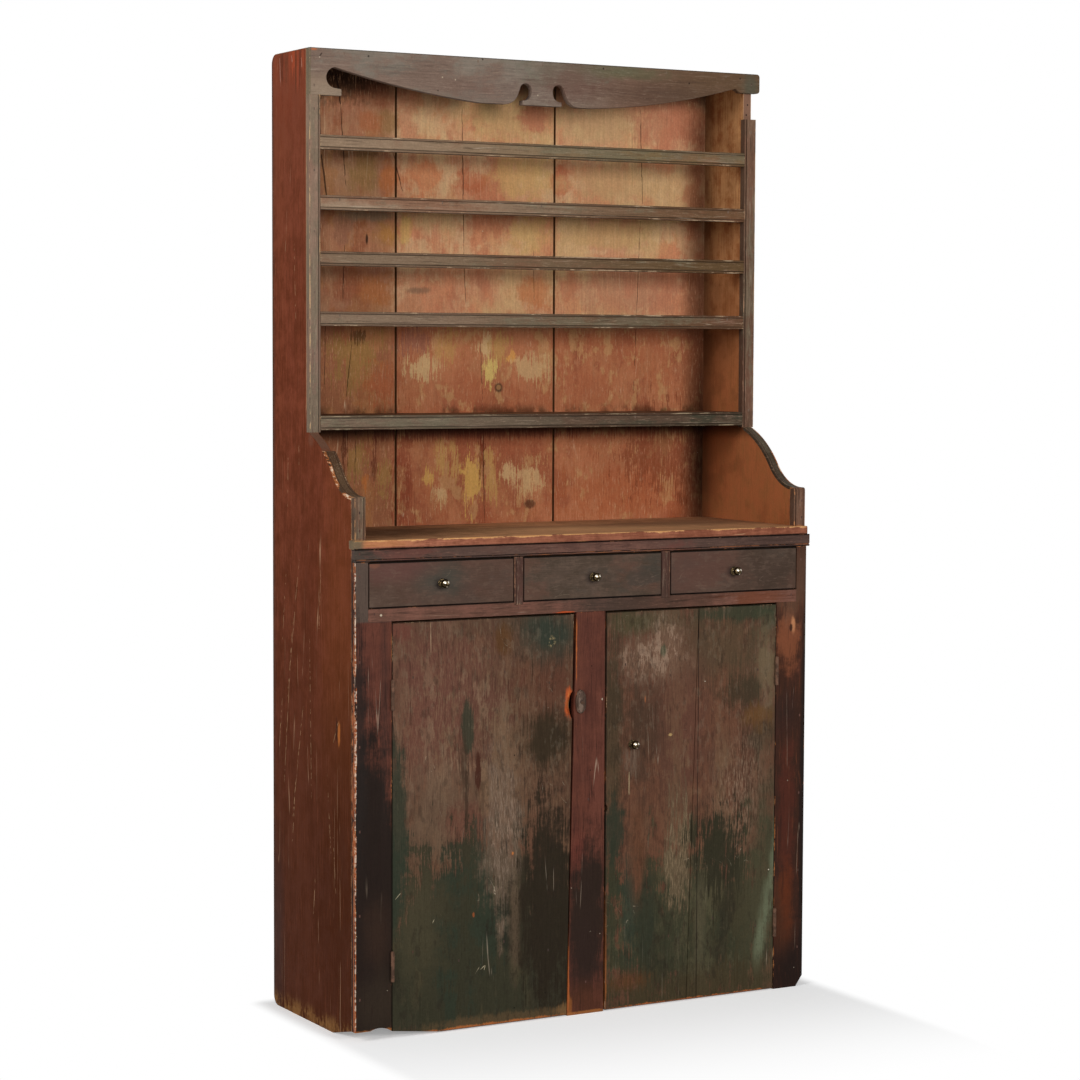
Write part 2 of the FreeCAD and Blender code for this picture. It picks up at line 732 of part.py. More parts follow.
def carcass_nails():
    """Every nail of the carcass, front and back."""
    edge_left = left + side_thickness / 2
    edge_right = right - side_thickness / 2
    nails = []

    def front_nail(x, z, face_y):
        nails.append(nail_along_y(x, z, face_y, 1, nail_length))

    for z in spread(ogee_top_height + 40, height - hook_drop - 30, 6):
        front_nail(edge_left, z, upper_front)
    for z in spread(ogee_top_height + 40, strip_break_height - 30, 6):
        front_nail(edge_right, z, upper_front)
    for top in shelf_tops.values():
        for x in spread(strip_left_inner + 45, strip_right_inner - 45, 5):
            front_nail(x, top - shelf_thickness / 2, upper_front)
    for z in (height - 24, height - hook_drop + 20):
        front_nail(edge_left, z, upper_front)
    front_nail(edge_right, height - 24, upper_front)
    for x in spread(inner_left + 60, inner_right - 60, 7):
        front_nail(x, height - top_thickness / 2, upper_front)
    for z in (counter_height + 20, ogee_bottom_height - 30):
        front_nail(edge_left, z, front)
        front_nail(edge_right, z, front)
    for x in (edge_left, edge_right):
        front_nail(x, counter_bottom - top_rail_height / 3, front)
    for z in spread(worn_foot_height + 70, top_rail_bottom - 30, 6):
        front_nail(edge_left, z, front)
        front_nail(edge_right, z, front)
    for z in (inner_shelf_top - shelf_thickness / 2, bottom_board_top - shelf_thickness / 2):
        front_nail((centre_stile_left_at(z) + centre_stile_right) / 2, z, front)
    runner_middle = drawer_rail_top - runner_height / 2
    for x in (opening_left + runner_reach / 2, *divider_centres, opening_right - runner_reach / 2):
        front_nail(x, runner_middle, front)

    levels = [top - shelf_thickness / 2 for top in shelf_tops.values()]
    levels += [height - top_thickness / 2, counter_bottom + counter_thickness / 2]
    levels += [inner_shelf_top - shelf_thickness / 2, bottom_board_top - shelf_thickness / 2]
    rows = [(inner_left + 30, left + back_joint_left_x - 35)]
    rows += [(left + back_joint_left_x + 45, left + back_joint_right_x - 35)]
    rows += [(left + back_joint_right_x + 45, inner_right - 30)]
    for z in levels:
        for row in rows:
            for x in spread(row[0], row[1], 3):
                nails.append(nail_along_y(x, z, back, -1, back_nail_length))
    return nails


# ---------------------------------------------------------------------------------------------
# Doors
# ---------------------------------------------------------------------------------------------
def door_left_free_edge(z):
    """X of the left door's leaning free edge at a height."""
    gap = door_left_free_gap_bottom
    gap += (door_left_free_gap_top - door_left_free_gap_bottom) * z / door_top
    return centre_stile_left_at(z) - gap


def door_left_board():
    """Plank with a worn outer foot and a scoop worn by fingers in its free edge."""
    edge = door_left_hinge_edge + door_hinge_gap
    foot = door_floor_gap
    steps = [(edge, foot + worn_door_rise), (edge + worn_door_reach, foot)]
    steps += [(door_left_free_edge(foot), foot), (door_left_free_edge(door_top), door_top), (edge, door_top)]
    plank = front_outline(steps, front, front + door_thickness)
    reach = math.sqrt((finger_wear_radius ** 2 - finger_wear_half ** 2) / 2)
    centre = Vector(door_left_free_edge(finger_wear_height) + reach, front - reach, finger_wear_height)
    return single(plank.cut(Part.makeSphere(finger_wear_radius, centre)))


def door_right_boards():
    """Two planks that meet at a leaning joint; the inner one has a bite in its free edge."""
    free = centre_stile_right + door_right_free_gap
    edge = door_right_hinge_edge - door_hinge_gap
    foot = door_floor_gap
    half = door_seam_gap / 2
    top_x = left + door_seam_top_x
    bottom_x = left + door_seam_bottom_x
    inner = [(free, foot), (bottom_x - half, foot), (top_x - half, door_top), (free, door_top)]
    outer = [(bottom_x + half, foot), (edge, foot), (edge, door_top), (top_x + half, door_top)]
    planks = [front_outline(steps, front, front + door_thickness) for steps in (inner, outer)]
    bite = rod(bite_radius, door_thickness, Vector(free - bite_radius / 2, front, bite_height), Vector(0, 1, 0))
    return [single(planks[0].cut(bite)), planks[1]]


def door_battens(x0, free_edge):
    """Two battens on the back of a door, inside its edges."""
    y0 = front + door_thickness
    battens = []
    for z in batten_heights:
        ends = sorted((x0, free_edge(z)))
        battens.append(board(ends[0] + batten_setback, ends[1] - batten_setback, y0, y0 + batten_thickness,
                             z, z + batten_width))
    return battens


def door_nails(battens, stations):
    """Nails through the door's planks into its battens."""
    nails = []
    for batten in battens:
        box = batten.BoundBox
        for index, x in enumerate(stations):
            z = box.ZMin + batten_width * (0.3 if index % 2 else 0.7)
            nails.append(nail_along_y(x, z, front, 1, door_nail_length))
    return nails


# ---------------------------------------------------------------------------------------------
# Butt hinges
# ---------------------------------------------------------------------------------------------
def pin_axis_y():
    return front - barrel_radius - barrel_clearance


def pin_x(edge, side):
    """X of a hinge's pin: in the middle of the gap between stile and door (side is +1 for the left)."""
    return edge + side * door_hinge_gap / 2


def knuckle_ranges(z0, fixed):
    """Heights of one leaf's knuckles, with clearance between neighbours."""
    pitch = hinge_height / knuckle_count
    ranges = []
    for index in range(knuckle_count):
        if (index % 2 == 0) == fixed:
            low = z0 + index * pitch + (barrel_clearance / 2 if index else 0.0)
            high = z0 + (index + 1) * pitch
            high -= barrel_clearance / 2 if index < knuckle_count - 1 else 0.0
            ranges.append((low, high))
    return ranges


def hinge_screw_heights(z0):
    return [z0 + hinge_height * share for share in (0.15, 0.5, 0.85)]


def leaf(edge, side, z0, fixed):
    """One leaf with its knuckles; side is +1 at the left door, and the fixed leaf is on the stile."""
    axis_x = pin_x(edge, side)
    axis_y = pin_axis_y()
    away = -side if fixed else side
    near = axis_x + away * leaf_gap / 2
    xs = sorted((near, near + away * leaf_thickness))
    plate_y = axis_y + barrel_radius + leaf_relief
    parts_of_leaf = [board(xs[0], xs[1], plate_y, axis_y + leaf_depth, z0, z0 + hinge_height)]
    for low, high in knuckle_ranges(z0, fixed):
        parts_of_leaf.append(rod(barrel_radius, high - low, Vector(axis_x, axis_y, low), Vector(0, 0, 1)))
        parts_of_leaf.append(board(xs[0], xs[1], axis_y, plate_y, low, high))
    whole = joined(*parts_of_leaf)
    bore = rod(pin_radius + running_clearance, hinge_height, Vector(axis_x, axis_y, z0), Vector(0, 0, 1))
    return single(whole.cut(bore))


def leaf_screws(edge, side, z0, fixed, extra=0.0):
    """The three screws of a leaf, heads flush with the face that meets the other leaf."""
    away = -side if fixed else side
    x = pin_x(edge, side) + away * leaf_gap / 2
    y = (pin_axis_y() + leaf_depth + front) / 2
    return [screw_solid(Vector(x, y, z), Vector(away, 0, 0), extra) for z in hinge_screw_heights(z0)]


def leaf_mortise(edge, side, z0, fixed):
    """Room for a leaf in the edge of a stile or a door."""
    away = -side if fixed else side
    axis_x = pin_x(edge, side)
    xs = sorted((axis_x, axis_x + away * (leaf_gap / 2 + leaf_thickness)))
    return board(xs[0], xs[1], front, pin_axis_y() + leaf_depth, z0, z0 + hinge_height)


def hinge_pin(edge, side, z0):
    """Pin with a low round head on the top knuckle."""
    axis = Vector(pin_x(edge, side), pin_axis_y(), z0)
    shaft = rod(pin_radius, hinge_height, axis, Vector(0, 0, 1))
    head = rod(pin_head_radius, pin_head_height, axis + Vector(0, 0, hinge_height), Vector(0, 0, 1))
    return joined(shaft, head)


# ---------------------------------------------------------------------------------------------
# Drawers, knobs and the turn button
# ---------------------------------------------------------------------------------------------
def knob(x, z):
    """Small turned knob with a round base, and a shank that runs into the wood."""
    centre = Vector(x, front, z)
    head_middle = knob_reach - knob_head_radius
    bulge = knob_head_radius * math.sqrt(0.5)
    neck_out = head_middle - math.sqrt(knob_head_radius ** 2 - knob_neck_radius ** 2)
    profile = [(knob_shank_radius, -knob_shank_length), (knob_shank_radius, 0.0), (knob_base_radius, 0.0)]
    profile += [(knob_base_radius, knob_base_height / 2), (knob_neck_radius + 1.5, knob_base_height)]
    profile += [(knob_neck_radius, knob_base_height + 1.5), (knob_neck_radius, neck_out)]
    profile += [arc_to((knob_head_radius, head_middle), (bulge, head_middle + bulge))]
    profile += [arc_to((knob_head_radius * math.sin(math.pi / 8),
                        head_middle + knob_head_radius * math.cos(math.pi / 8)), (0.0, knob_reach))]
    return single(turned(profile, centre, -knob_shank_length))


def knob_hole(x, z):
    start = Vector(x, front, z)
    return rod(knob_shank_radius + running_clearance, knob_shank_length + running_clearance, start,
               Vector(0, 1, 0))


def drawer_openings():
    """Left and right edges of the three drawer openings."""
    half = divider_width / 2
    edges = [opening_left]
    for x in divider_centres:
        edges += [x - half, x + half]
    edges.append(opening_right)
    return {"left": edges[0:2], "centre": edges[2:4], "right": edges[4:6]}


def drawer(name, opening):
    """Front, box (two sides and the back), bottom and knob of one drawer."""
    x0, x1 = opening[0] + drawer_front_gap, opening[1] - drawer_front_gap
    side = drawer_side_thickness
    low = drawer_rail_top + runner_clearance
    high = low + drawer_side_height
    lip = front + drawer_lip
    inner_front = front + drawer_front_thickness
    end = front + drawer_length
    panel_z = low + drawer_bottom_rise
    panel_top = panel_z + drawer_bottom_thickness
    middle = (x0 + x1) / 2

    panel = board(x0 + side - drawer_groove, x1 - side + drawer_groove, inner_front - drawer_groove, end,
                  panel_z, panel_top)
    face = board(x0, x1, front, inner_front, drawer_rail_top + drawer_front_gap,
                 top_rail_bottom - drawer_front_gap)
    sides = [board(x0, x0 + side, lip, end, low, high), board(x1 - side, x1, lip, end, low, high)]
    rear = board(x0 + side, x1 - side, end - side, end, panel_top, high)
    return {
        "drawer_%s_front" % name: [single(face.cut(sides + [panel, knob_hole(middle, drawer_knob_height)]))],
        "drawer_%s_sides" % name: [single(s.cut(panel)) for s in sides] + [rear],
        "drawer_%s_bottom" % name: [panel],
        "drawer_%s_knob" % name: [knob(middle, drawer_knob_height)],
    }


def turn_screw(extra=0.0):
    """Round-headed screw that holds the turn button; extra widens it into its hole."""
    face_y = front - turn_button_gap - turn_button_thickness
    start = Vector(left + turn_button_x, face_y - turn_button_gap, turn_button_height)
    length = turn_button_thickness + 2 * turn_button_gap + turn_screw_depth + extra
    shank = rod(turn_screw_radius + extra, length, start, Vector(0, 1, 0))
    if extra:
        return shank
    head_start = start - Vector(0, turn_screw_head_height, 0)
    return joined(shank, rod(turn_screw_head_radius, turn_screw_head_height, head_start, Vector(0, 1, 0)))


def turn_button():
    """Oval button, its face rounded over, upright when it leaves the door free."""
    centre = Vector(left + turn_button_x, front - turn_button_gap, turn_button_height)
    ellipse = Part.Ellipse(centre, turn_button_length / 2, turn_button_width / 2)
    oval = ellipse.toShape()
    oval.rotate(centre, Vector(0, 0, 1), 90)
    oval.rotate(centre, Vector(1, 0, 0), 90)
    oval.rotate(centre, Vector(0, 1, 0), 0)
    blank = Part.Face(Part.Wire([oval])).extrude(Vector(0, -turn_button_thickness, 0))
    face_y = centre.y - turn_button_thickness
    rim = [e for e in blank.Edges if abs(e.CenterOfMass.y - face_y) < 0.01]
    rounded = blank.makeFillet(turn_button_thickness * 0.35, rim)
    return single(rounded.cut(turn_screw(running_clearance)))


# ---------------------------------------------------------------------------------------------
# Assembly
# ---------------------------------------------------------------------------------------------
def carcass():
    """Every fixed wooden piece, before its nail holes."""
    pieces = {
        "side_left": [side_left()],
        "side_right": [side_right()],
        "top_board": [top_board()],
        "frieze_board": [frieze_board()],
        "face_strip_left": [face_strip_left()],
        "face_strip_right": [face_strip_right()],
        "ogee_strip_left": [ogee_strip(left, strip_left_inner, ogee_left_proud, ogee_left_break_height)],
        "ogee_strip_right": [ogee_strip(inner_right - cheek_inset_right, cheek_right_outer, 0.0, height)],
        "cheek_strip_left": [cheek_strip(left, strip_left_inner, ogee_left_proud)],
        "cheek_strip_right": [cheek_strip(cheek_right_outer, cheek_right_outer - strip_width_right, 0.0)],
        "counter_board": [counter_board()],
        "top_rail": [top_rail()],
        "drawer_rail": [drawer_rail()],
        "drawer_dividers": divider_solids(),
        "stile_left": [stile_left()],
        "stile_right": [stile_right()],
        "centre_stile": [centre_stile()],
        "drawer_runners": drawer_runners(),
        "runner_back_rail": [runner_back_rail()],
        "bottom_board": [level_board(bottom_board_top)],
        "inner_shelf": [level_board(inner_shelf_top)],
        "shelf_cleats": shelf_cleats(),
    }
    for name, plank in zip(("left", "centre", "right"), backboards()):
        pieces["backboard_" + name] = [plank]
    for name, top in shelf_tops.items():
        pieces["shelf_" + name] = [shelf(top)]
        pieces["shelf_edge_" + name] = [shelf_edge(top)]
    for name, top in rail_tops.items():
        pieces["plate_rail_" + name] = [shelf_edge(top)]
    return pieces


def door_pieces():
    """The wooden pieces of both doors, before their holes."""
    left_start = door_left_hinge_edge + door_hinge_gap
    right_start = door_right_hinge_edge - door_hinge_gap
    right_free = centre_stile_right + door_right_free_gap
    inner, outer = door_right_boards()
    return {
        "door_left_board": [door_left_board()],
        "door_left_battens": door_battens(left_start, door_left_free_edge),
        "door_right_board_inner": [inner],
        "door_right_board_outer": [outer],
        "door_right_battens": door_battens(right_start, lambda z: right_free),
    }


def build():
    """All pieces: node name to its list of solids."""
    pieces = carcass()
    doors = door_pieces()

    nails = carcass_nails()
    for name in pieces:
        pieces[name] = drive(pieces[name], nails)
    pieces["carcass_nails"] = nails

    door_edges = {"left": (door_left_hinge_edge, 1), "right": (door_right_hinge_edge, -1)}
    frame_leaves, frame_screws, pins = [], [], []
    for name, (edge, side) in door_edges.items():
        stile = "stile_" + name
        planks = {"left": "door_left_board", "right": "door_right_board_outer"}[name]
        door_leaves, door_screws = [], []
        for z0 in hinge_heights:
            holes = leaf_screws(edge, side, z0, True, running_clearance)
            frame_leaves.append(single(leaf(edge, side, z0, True).cut(holes)))
            frame_screws += leaf_screws(edge, side, z0, True)
            pieces[stile] = [single(pieces[stile][0].cut(holes + [leaf_mortise(edge, side, z0, True)]))]
            holes = leaf_screws(edge, side, z0, False, running_clearance)
            door_leaves.append(single(leaf(edge, side, z0, False).cut(holes)))
            door_screws += leaf_screws(edge, side, z0, False)
            doors[planks] = [single(doors[planks][0].cut(holes + [leaf_mortise(edge, side, z0, False)]))]
            pins.append(hinge_pin(edge, side, z0))
        doors["door_%s_hinge_leaves" % name] = door_leaves

        battens = doors["door_%s_battens" % name]
        box = battens[0].BoundBox
        clenched = door_nails(battens, spread(box.XMin + 25, box.XMax - 25, 4))
        for wood in [n for n in doors if n.startswith("door_" + name) and "leaves" not in n]:
            doors[wood] = drive(doors[wood], clenched)
        doors["door_%s_fixings" % name] = door_screws + clenched

    pieces["centre_stile"] = [single(pieces["centre_stile"][0].cut(turn_screw(running_clearance)))]
    pieces["hinge_frame_leaves"] = frame_leaves
    pieces["hinge_pins"] = pins
    pieces["frame_screws"] = frame_screws + [turn_screw()]

    knob_x = left + door_knob_x
    hole = knob_hole(knob_x, door_knob_height)
    doors["door_right_board_inner"] = [single(doors["door_right_board_inner"][0].cut(hole))]
    doors["door_knob"] = [knob(knob_x, door_knob_height)]

    pieces.update(doors)
    for name, opening in drawer_openings().items():
        pieces.update(drawer(name, opening))
    pieces["turn_button"] = [turn_button()]
    return pieces


os.makedirs("parts", exist_ok=True)
for node, solids in build().items():
    shape = solids[0] if len(solids) == 1 else Part.makeCompound(solids)
    shape.exportStep("parts/%s.step" % node)
    print("%-26s %3d solids  %10.0f mm3" % (node, len(solids), shape.Volume))
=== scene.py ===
"""Step back cupboard in old paint: worn finishes, softened arrises, turned brass and a plain studio.

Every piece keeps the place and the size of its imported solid. All lengths are in metres.
"""

import json
import math

import bmesh
import bpy
from mathutils import Matrix, Vector


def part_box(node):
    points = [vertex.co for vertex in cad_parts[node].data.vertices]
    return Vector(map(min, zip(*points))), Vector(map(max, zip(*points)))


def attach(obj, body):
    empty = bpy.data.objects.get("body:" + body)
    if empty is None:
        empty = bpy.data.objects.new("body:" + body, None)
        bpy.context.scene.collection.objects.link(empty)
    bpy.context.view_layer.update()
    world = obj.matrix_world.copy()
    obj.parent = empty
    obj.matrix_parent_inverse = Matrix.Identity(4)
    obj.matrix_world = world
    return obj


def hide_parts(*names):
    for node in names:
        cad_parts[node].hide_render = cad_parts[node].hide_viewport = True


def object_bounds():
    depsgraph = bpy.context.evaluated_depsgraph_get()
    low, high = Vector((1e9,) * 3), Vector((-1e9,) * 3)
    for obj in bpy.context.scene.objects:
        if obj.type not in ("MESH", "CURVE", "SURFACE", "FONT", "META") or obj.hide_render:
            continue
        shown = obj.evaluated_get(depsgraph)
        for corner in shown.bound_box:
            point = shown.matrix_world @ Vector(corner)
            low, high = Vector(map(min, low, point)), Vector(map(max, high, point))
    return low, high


bl_info = {
    "name": "Step back cupboard",
    "version": (1, 0, 0),
    "blender": (4, 5, 0),
    "location": "3D View > Sidebar > Cupboard",
    "description": "Dresses a packed step back cupboard in worn paint, bare pine and old brass",
    "category": "Object",
}

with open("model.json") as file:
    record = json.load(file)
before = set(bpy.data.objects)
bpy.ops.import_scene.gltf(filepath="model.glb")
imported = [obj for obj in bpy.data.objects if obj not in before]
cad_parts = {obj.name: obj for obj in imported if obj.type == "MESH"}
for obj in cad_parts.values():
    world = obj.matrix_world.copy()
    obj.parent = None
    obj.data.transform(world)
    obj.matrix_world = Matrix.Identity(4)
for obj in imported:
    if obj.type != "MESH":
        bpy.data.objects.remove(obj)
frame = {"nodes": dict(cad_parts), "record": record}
solid_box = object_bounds()

# -------------------------------------------------------------------------------------------------
# Settings
# -------------------------------------------------------------------------------------------------


def linear(hexadecimal):
    """A colour written as #rrggbb, as the linear values that shaders take."""
    shares = [int(hexadecimal[i:i + 2], 16) / 255 for i in (1, 3, 5)]
    return [s / 12.92 if s <= 0.04045 else ((s + 0.055) / 1.055) ** 2.4 for s in shares]


def colour_setting(name, description, hexadecimal):
    """A colour that a user can change."""
    return bpy.props.FloatVectorProperty(
        name=name, description=description, subtype="COLOR", size=3, min=0, max=1,
        default=linear(hexadecimal))


def length_setting(name, description, default):
    """A length that a user can change."""
    return bpy.props.FloatProperty(
        name=name, description=description, default=default, min=0, unit="LENGTH", precision=4)


class CupboardColours(bpy.types.PropertyGroup):
    """Main colours of the cupboard's paints, woods and metals."""

    side_red: colour_setting("Side red", "Paint on the side boards", "#6e3622")
    back_salmon: colour_setting("Back salmon", "Red part of the back boards' paint", "#bc805c")
    back_ochre: colour_setting("Back ochre", "Yellow part of the back boards' paint", "#c8a474")
    trim_grey: colour_setting("Trim grey", "Paint on the frieze", "#7b7064")
    frame_maroon: colour_setting("Frame maroon", "Paint on the stiles", "#5a3327")
    drawer_dark: colour_setting("Drawer dark", "Paint on the drawer fronts", "#514238")
    door_brown: colour_setting("Door brown", "Worn brown paint of the doors", "#5a4231")
    door_green: colour_setting("Door green", "Dark green paint at the doors' feet", "#2f2e22")
    counter_tan: colour_setting("Counter tan", "Top of the counter", "#c08a62")
    primer_orange: colour_setting("Bare orange", "Pine that shows at worn arrises", "#b06a35")
    bare_pine: colour_setting("Bare pine", "Unpainted pine inside", "#8c6a48")
    brass: colour_setting("Brass", "Turned knobs", "#5c4c33")
    iron: colour_setting("Iron", "Hinges, screws and nails", "#3a2f29")


class CupboardSizes(bpy.types.PropertyGroup):
    """Small sizes of the wear on the boards and of the studio."""

    arris: length_setting("Arris", "How far the arrises of doors, stiles and shelves are rounded", 0.0012)
    side_arris: length_setting("Side arris", "Rounding of the side boards and the battens", 0.0016)
    back_arris: length_setting("Back arris", "Rounding of the back boards, rails and cheek strips", 0.0008)
    strip_arris: length_setting("Strip arris", "Rounding of the beaded strips", 0.0007)
    ogee_arris: length_setting("Ogee arris", "Rounding of ogee strips, dividers and inside boards", 0.0010)
    counter_arris: length_setting("Counter arris", "Rounding of the counter", 0.0022)
    drawer_arris: length_setting("Drawer arris", "Rounding of the drawer fronts", 0.0014)
    bottom_arris: length_setting("Bottom arris", "Rounding of the drawer bottoms", 0.0006)
    wear_reach: length_setting("Wear reach", "How far bare wood reaches in from an arris", 0.005)
    floor_size: length_setting("Floor size", "Side of the studio floor", 60.0)


def colour(name):
    """One of the colours in the settings, or one written as #rrggbb, as a shader takes it."""
    if name.startswith("#"):
        return (*linear(name), 1.0)
    return (*getattr(bpy.context.scene.cupboard_colours, name), 1.0)


# -------------------------------------------------------------------------------------------------
# Node trees
# -------------------------------------------------------------------------------------------------
class Tree:
    """Short calls that add nodes to a tree and give back the socket that is used."""

    def __init__(self, nodes):
        self.tree = nodes

    def node(self, kind, inputs=None, **settings):
        """A node with its settings, its inputs set to values or linked to sockets."""
        made = self.tree.nodes.new(kind if kind.startswith("Node") else "ShaderNode" + kind)
        for name, value in settings.items():
            setattr(made, name, value)
        for key, value in (inputs or {}).items():
            if isinstance(value, bpy.types.NodeSocket):
                self.tree.links.new(value, made.inputs[key])
            else:
                made.inputs[key].default_value = value
        return made

    def math(self, operation, *values, clamp=False):
        """One sum."""
        return self.node("Math", dict(enumerate(values)), operation=operation, use_clamp=clamp).outputs[0]

    def times(self, *values, clamp=False):
        """The product of two values."""
        return self.math("MULTIPLY", *values, clamp=clamp)

    def plus(self, *values):
        """The sum of two values."""
        return self.math("ADD", *values)

    def minus(self, *values):
        """The first value less the second."""
        return self.math("SUBTRACT", *values)

    def scaled(self, value, factor, shift):
        """A value times a factor, with a shift added."""
        return self.math("MULTIPLY_ADD", value, factor, shift)

    def vector(self, operation, *values, out=0):
        """One vector sum; out=1 gives its number instead of its vector."""
        return self.node("VectorMath", dict(enumerate(values)), operation=operation).outputs[out]

    def mix(self, mask, under, over):
        """One colour over another through a mask."""
        return self.node("Mix", {0: mask, 6: under, 7: over}, data_type="RGBA").outputs[2]

    def ease(self, value, start, end, low=0.0, high=1.0):
        """A smooth step from low, where value is at start, to high, where it is at end."""
        made = self.node("MapRange", {0: value, 1: start, 2: end, 3: low, 4: high},
                         interpolation_type="SMOOTHSTEP")
        return made.outputs[0]

    def band(self, value, start, full, still, end):
        """A mask that comes in from start to full and goes out from still to end."""
        return self.times(self.ease(value, start, full), self.ease(value, end, still))

    def noise(self, place, scale, detail=2.0, roughness=0.5):
        """Soft noise around a half."""
        return self.node("TexNoise", {"Vector": place, "Scale": scale, "Detail": detail,
                                      "Roughness": roughness}).outputs[0]

    def axes(self, place):
        """The x, y and z of a vector."""
        return self.node("SeparateXYZ", {0: place}).outputs

    def group(self, name, **inputs):
        """One of the shared effects, with its own values."""
        made = self.node("Group", node_tree=bpy.data.node_groups[name])
        for label, value in inputs.items():
            socket = made.inputs[label.replace("_", " ").capitalize()]
            if isinstance(value, bpy.types.NodeSocket):
                self.tree.links.new(value, socket)
            else:
                socket.default_value = value
        return made.outputs


def make_group(name, inputs, outputs, build):
    """A shader node group: build gets its tree and inputs, and gives a socket for each output."""
    nodes = bpy.data.node_groups.new(name, "ShaderNodeTree")
    for label, value in inputs.items():
        kind = "NodeSocketVector" if isinstance(value, tuple) else "NodeSocketFloat"
        nodes.interface.new_socket(name=label, in_out="INPUT", socket_type=kind).default_value = value
    for label in outputs:
        nodes.interface.new_socket(name=label, in_out="OUTPUT", socket_type="NodeSocketFloat")
    tree = Tree(nodes)
    takes = tree.node("NodeGroupInput").outputs
    gives = tree.node("NodeGroupOutput").inputs
    for label, socket in zip(outputs, build(tree, takes)):
        nodes.links.new(socket, gives[label])


def wood_grain(tree, takes):
    """Long fibres, wide bands, short hairlines, and the mixed noise that paint tears along."""
    bend = tree.noise(takes["Vector"], 3.0)
    moved = tree.vector("ADD", takes["Vector"], tree.scaled(bend, 0.03, -0.015))
    fibres = tree.vector("MULTIPLY", moved, takes["Stretch"])
    hairs = tree.vector("MULTIPLY", moved, tree.vector("MULTIPLY_ADD", takes["Stretch"], (2.2, 2.2, 2.2),
                                                       (14.0, 14.0, 14.0)))
    fine = tree.noise(fibres, 1.6, 5.0, 0.62)
    broad = tree.noise(fibres, 0.26, 3.0, 0.55)
    dash = tree.noise(hairs, 1.7, 3.0, 0.65)
    cloud = tree.noise(takes["Vector"], 24.0, 7.0, 0.68)
    grit = tree.noise(takes["Vector"], 240.0, 3.0, 0.6)
    drawn = tree.scaled(fine, 0.55, tree.scaled(broad, 0.5, -0.525))
    loose = tree.scaled(dash, 0.35, tree.scaled(cloud, 0.85, -0.6))
    tear = tree.plus(tree.scaled(drawn, takes["Fibres"], loose), 0.5)
    return fine, broad, dash, grit, tear


def ragged_patch(tree, takes):
    """An oval patch whose edge breaks up along the grain."""
    away = tree.vector("DIVIDE", tree.vector("SUBTRACT", takes["Vector"], takes["Centre"]), takes["Radius"])
    distance = tree.vector("LENGTH", away, out=1)
    torn = tree.times(tree.minus(takes["Noise"], 0.5), takes["Ragged"])
    broken = tree.scaled(torn, 1.15, distance)
    start = tree.plus(takes["Feather"], 1.0)
    end = tree.minus(1.0, takes["Feather"])
    return (tree.ease(broken, start, end),)


def edge_wear(tree, takes):
    """Wear along a board's arrises, which comes and goes."""
    below = tree.vector("SUBTRACT", takes["Vector"], takes["Low"])
    above = tree.vector("SUBTRACT", takes["High"], takes["Vector"])
    x, y, z = tree.axes(tree.vector("MINIMUM", below, above))
    least = tree.math("MINIMUM", tree.math("MINIMUM", x, y), z)
    most = tree.math("MAXIMUM", tree.math("MAXIMUM", x, y), z)
    total = tree.plus(tree.plus(x, y), z)
    distance = tree.minus(tree.minus(total, least), most)
    bare = tree.minus(takes["Noise"], tree.minus(1.0, takes["Amount"]))
    reach = tree.times(tree.times(bare, 5.0, clamp=True), takes["Reach"])
    outer = tree.plus(reach, 0.00002)
    return (tree.ease(distance, outer, tree.times(reach, 0.6)),)


def scratch_lines(tree, takes):
    """Thin broken scratches, drawn out by the stretch."""
    drawn = tree.vector("MULTIPLY", takes["Vector"], takes["Stretch"])
    line = tree.math("ABSOLUTE", tree.minus(tree.noise(drawn, 0.3, 1.0), 0.5))
    thin = tree.ease(line, takes["Width"], 0.0)
    broken = tree.ease(tree.noise(drawn, 1.3, 3.0, 0.7), 0.50, 0.62)
    some = tree.ease(tree.noise(takes["Vector"], 6.0, 1.0), tree.minus(1.0, takes["Share"]),
                     tree.minus(1.06, takes["Share"]))
    return (tree.times(tree.times(thin, broken), some),)


def paint_flecks(tree, takes):
    """Small chips and specks, a share of the cells in a scatter."""
    cells = tree.node("TexVoronoi", {"Vector": takes["Vector"], "Scale": takes["Scale"]}).outputs
    chance = tree.axes(cells["Color"])
    size = tree.times(takes["Size"], chance[1])
    inside = tree.ease(cells["Distance"], size, tree.times(size, 0.6))
    picked = tree.math("LESS_THAN", chance[0], takes["Share"])
    return (tree.times(inside, picked),)


def long_stroke(tree, takes):
    """A streak, crack or split from one point to another, seen square to the plane that it lies in."""
    run = tree.vector("SUBTRACT", takes["End"], takes["Start"])
    away = tree.vector("SUBTRACT", takes["Vector"], takes["Start"])
    flat = tree.vector("MULTIPLY", away, takes["Plane"])
    along = tree.math("DIVIDE", tree.vector("DOT_PRODUCT", flat, run, out=1),
                      tree.vector("DOT_PRODUCT", run, run, out=1), clamp=True)
    nearest = tree.node("VectorMath", {0: run, "Scale": along}, operation="SCALE").outputs[0]
    sway = tree.minus(tree.noise(takes["Vector"], 38.0, 2.0), 0.5)
    swayed = tree.vector("MULTIPLY", tree.times(sway, takes["Wander"]), takes["Plane"])
    off_line = tree.vector("ADD", tree.vector("SUBTRACT", flat, nearest), swayed)
    distance = tree.vector("LENGTH", off_line, out=1)
    ends = tree.times(tree.times(along, tree.minus(1.0, along)), 4.0)
    width = tree.times(takes["Width"], tree.math("POWER", ends, 0.35))
    return (tree.ease(distance, width, tree.times(width, takes["Core"])),)


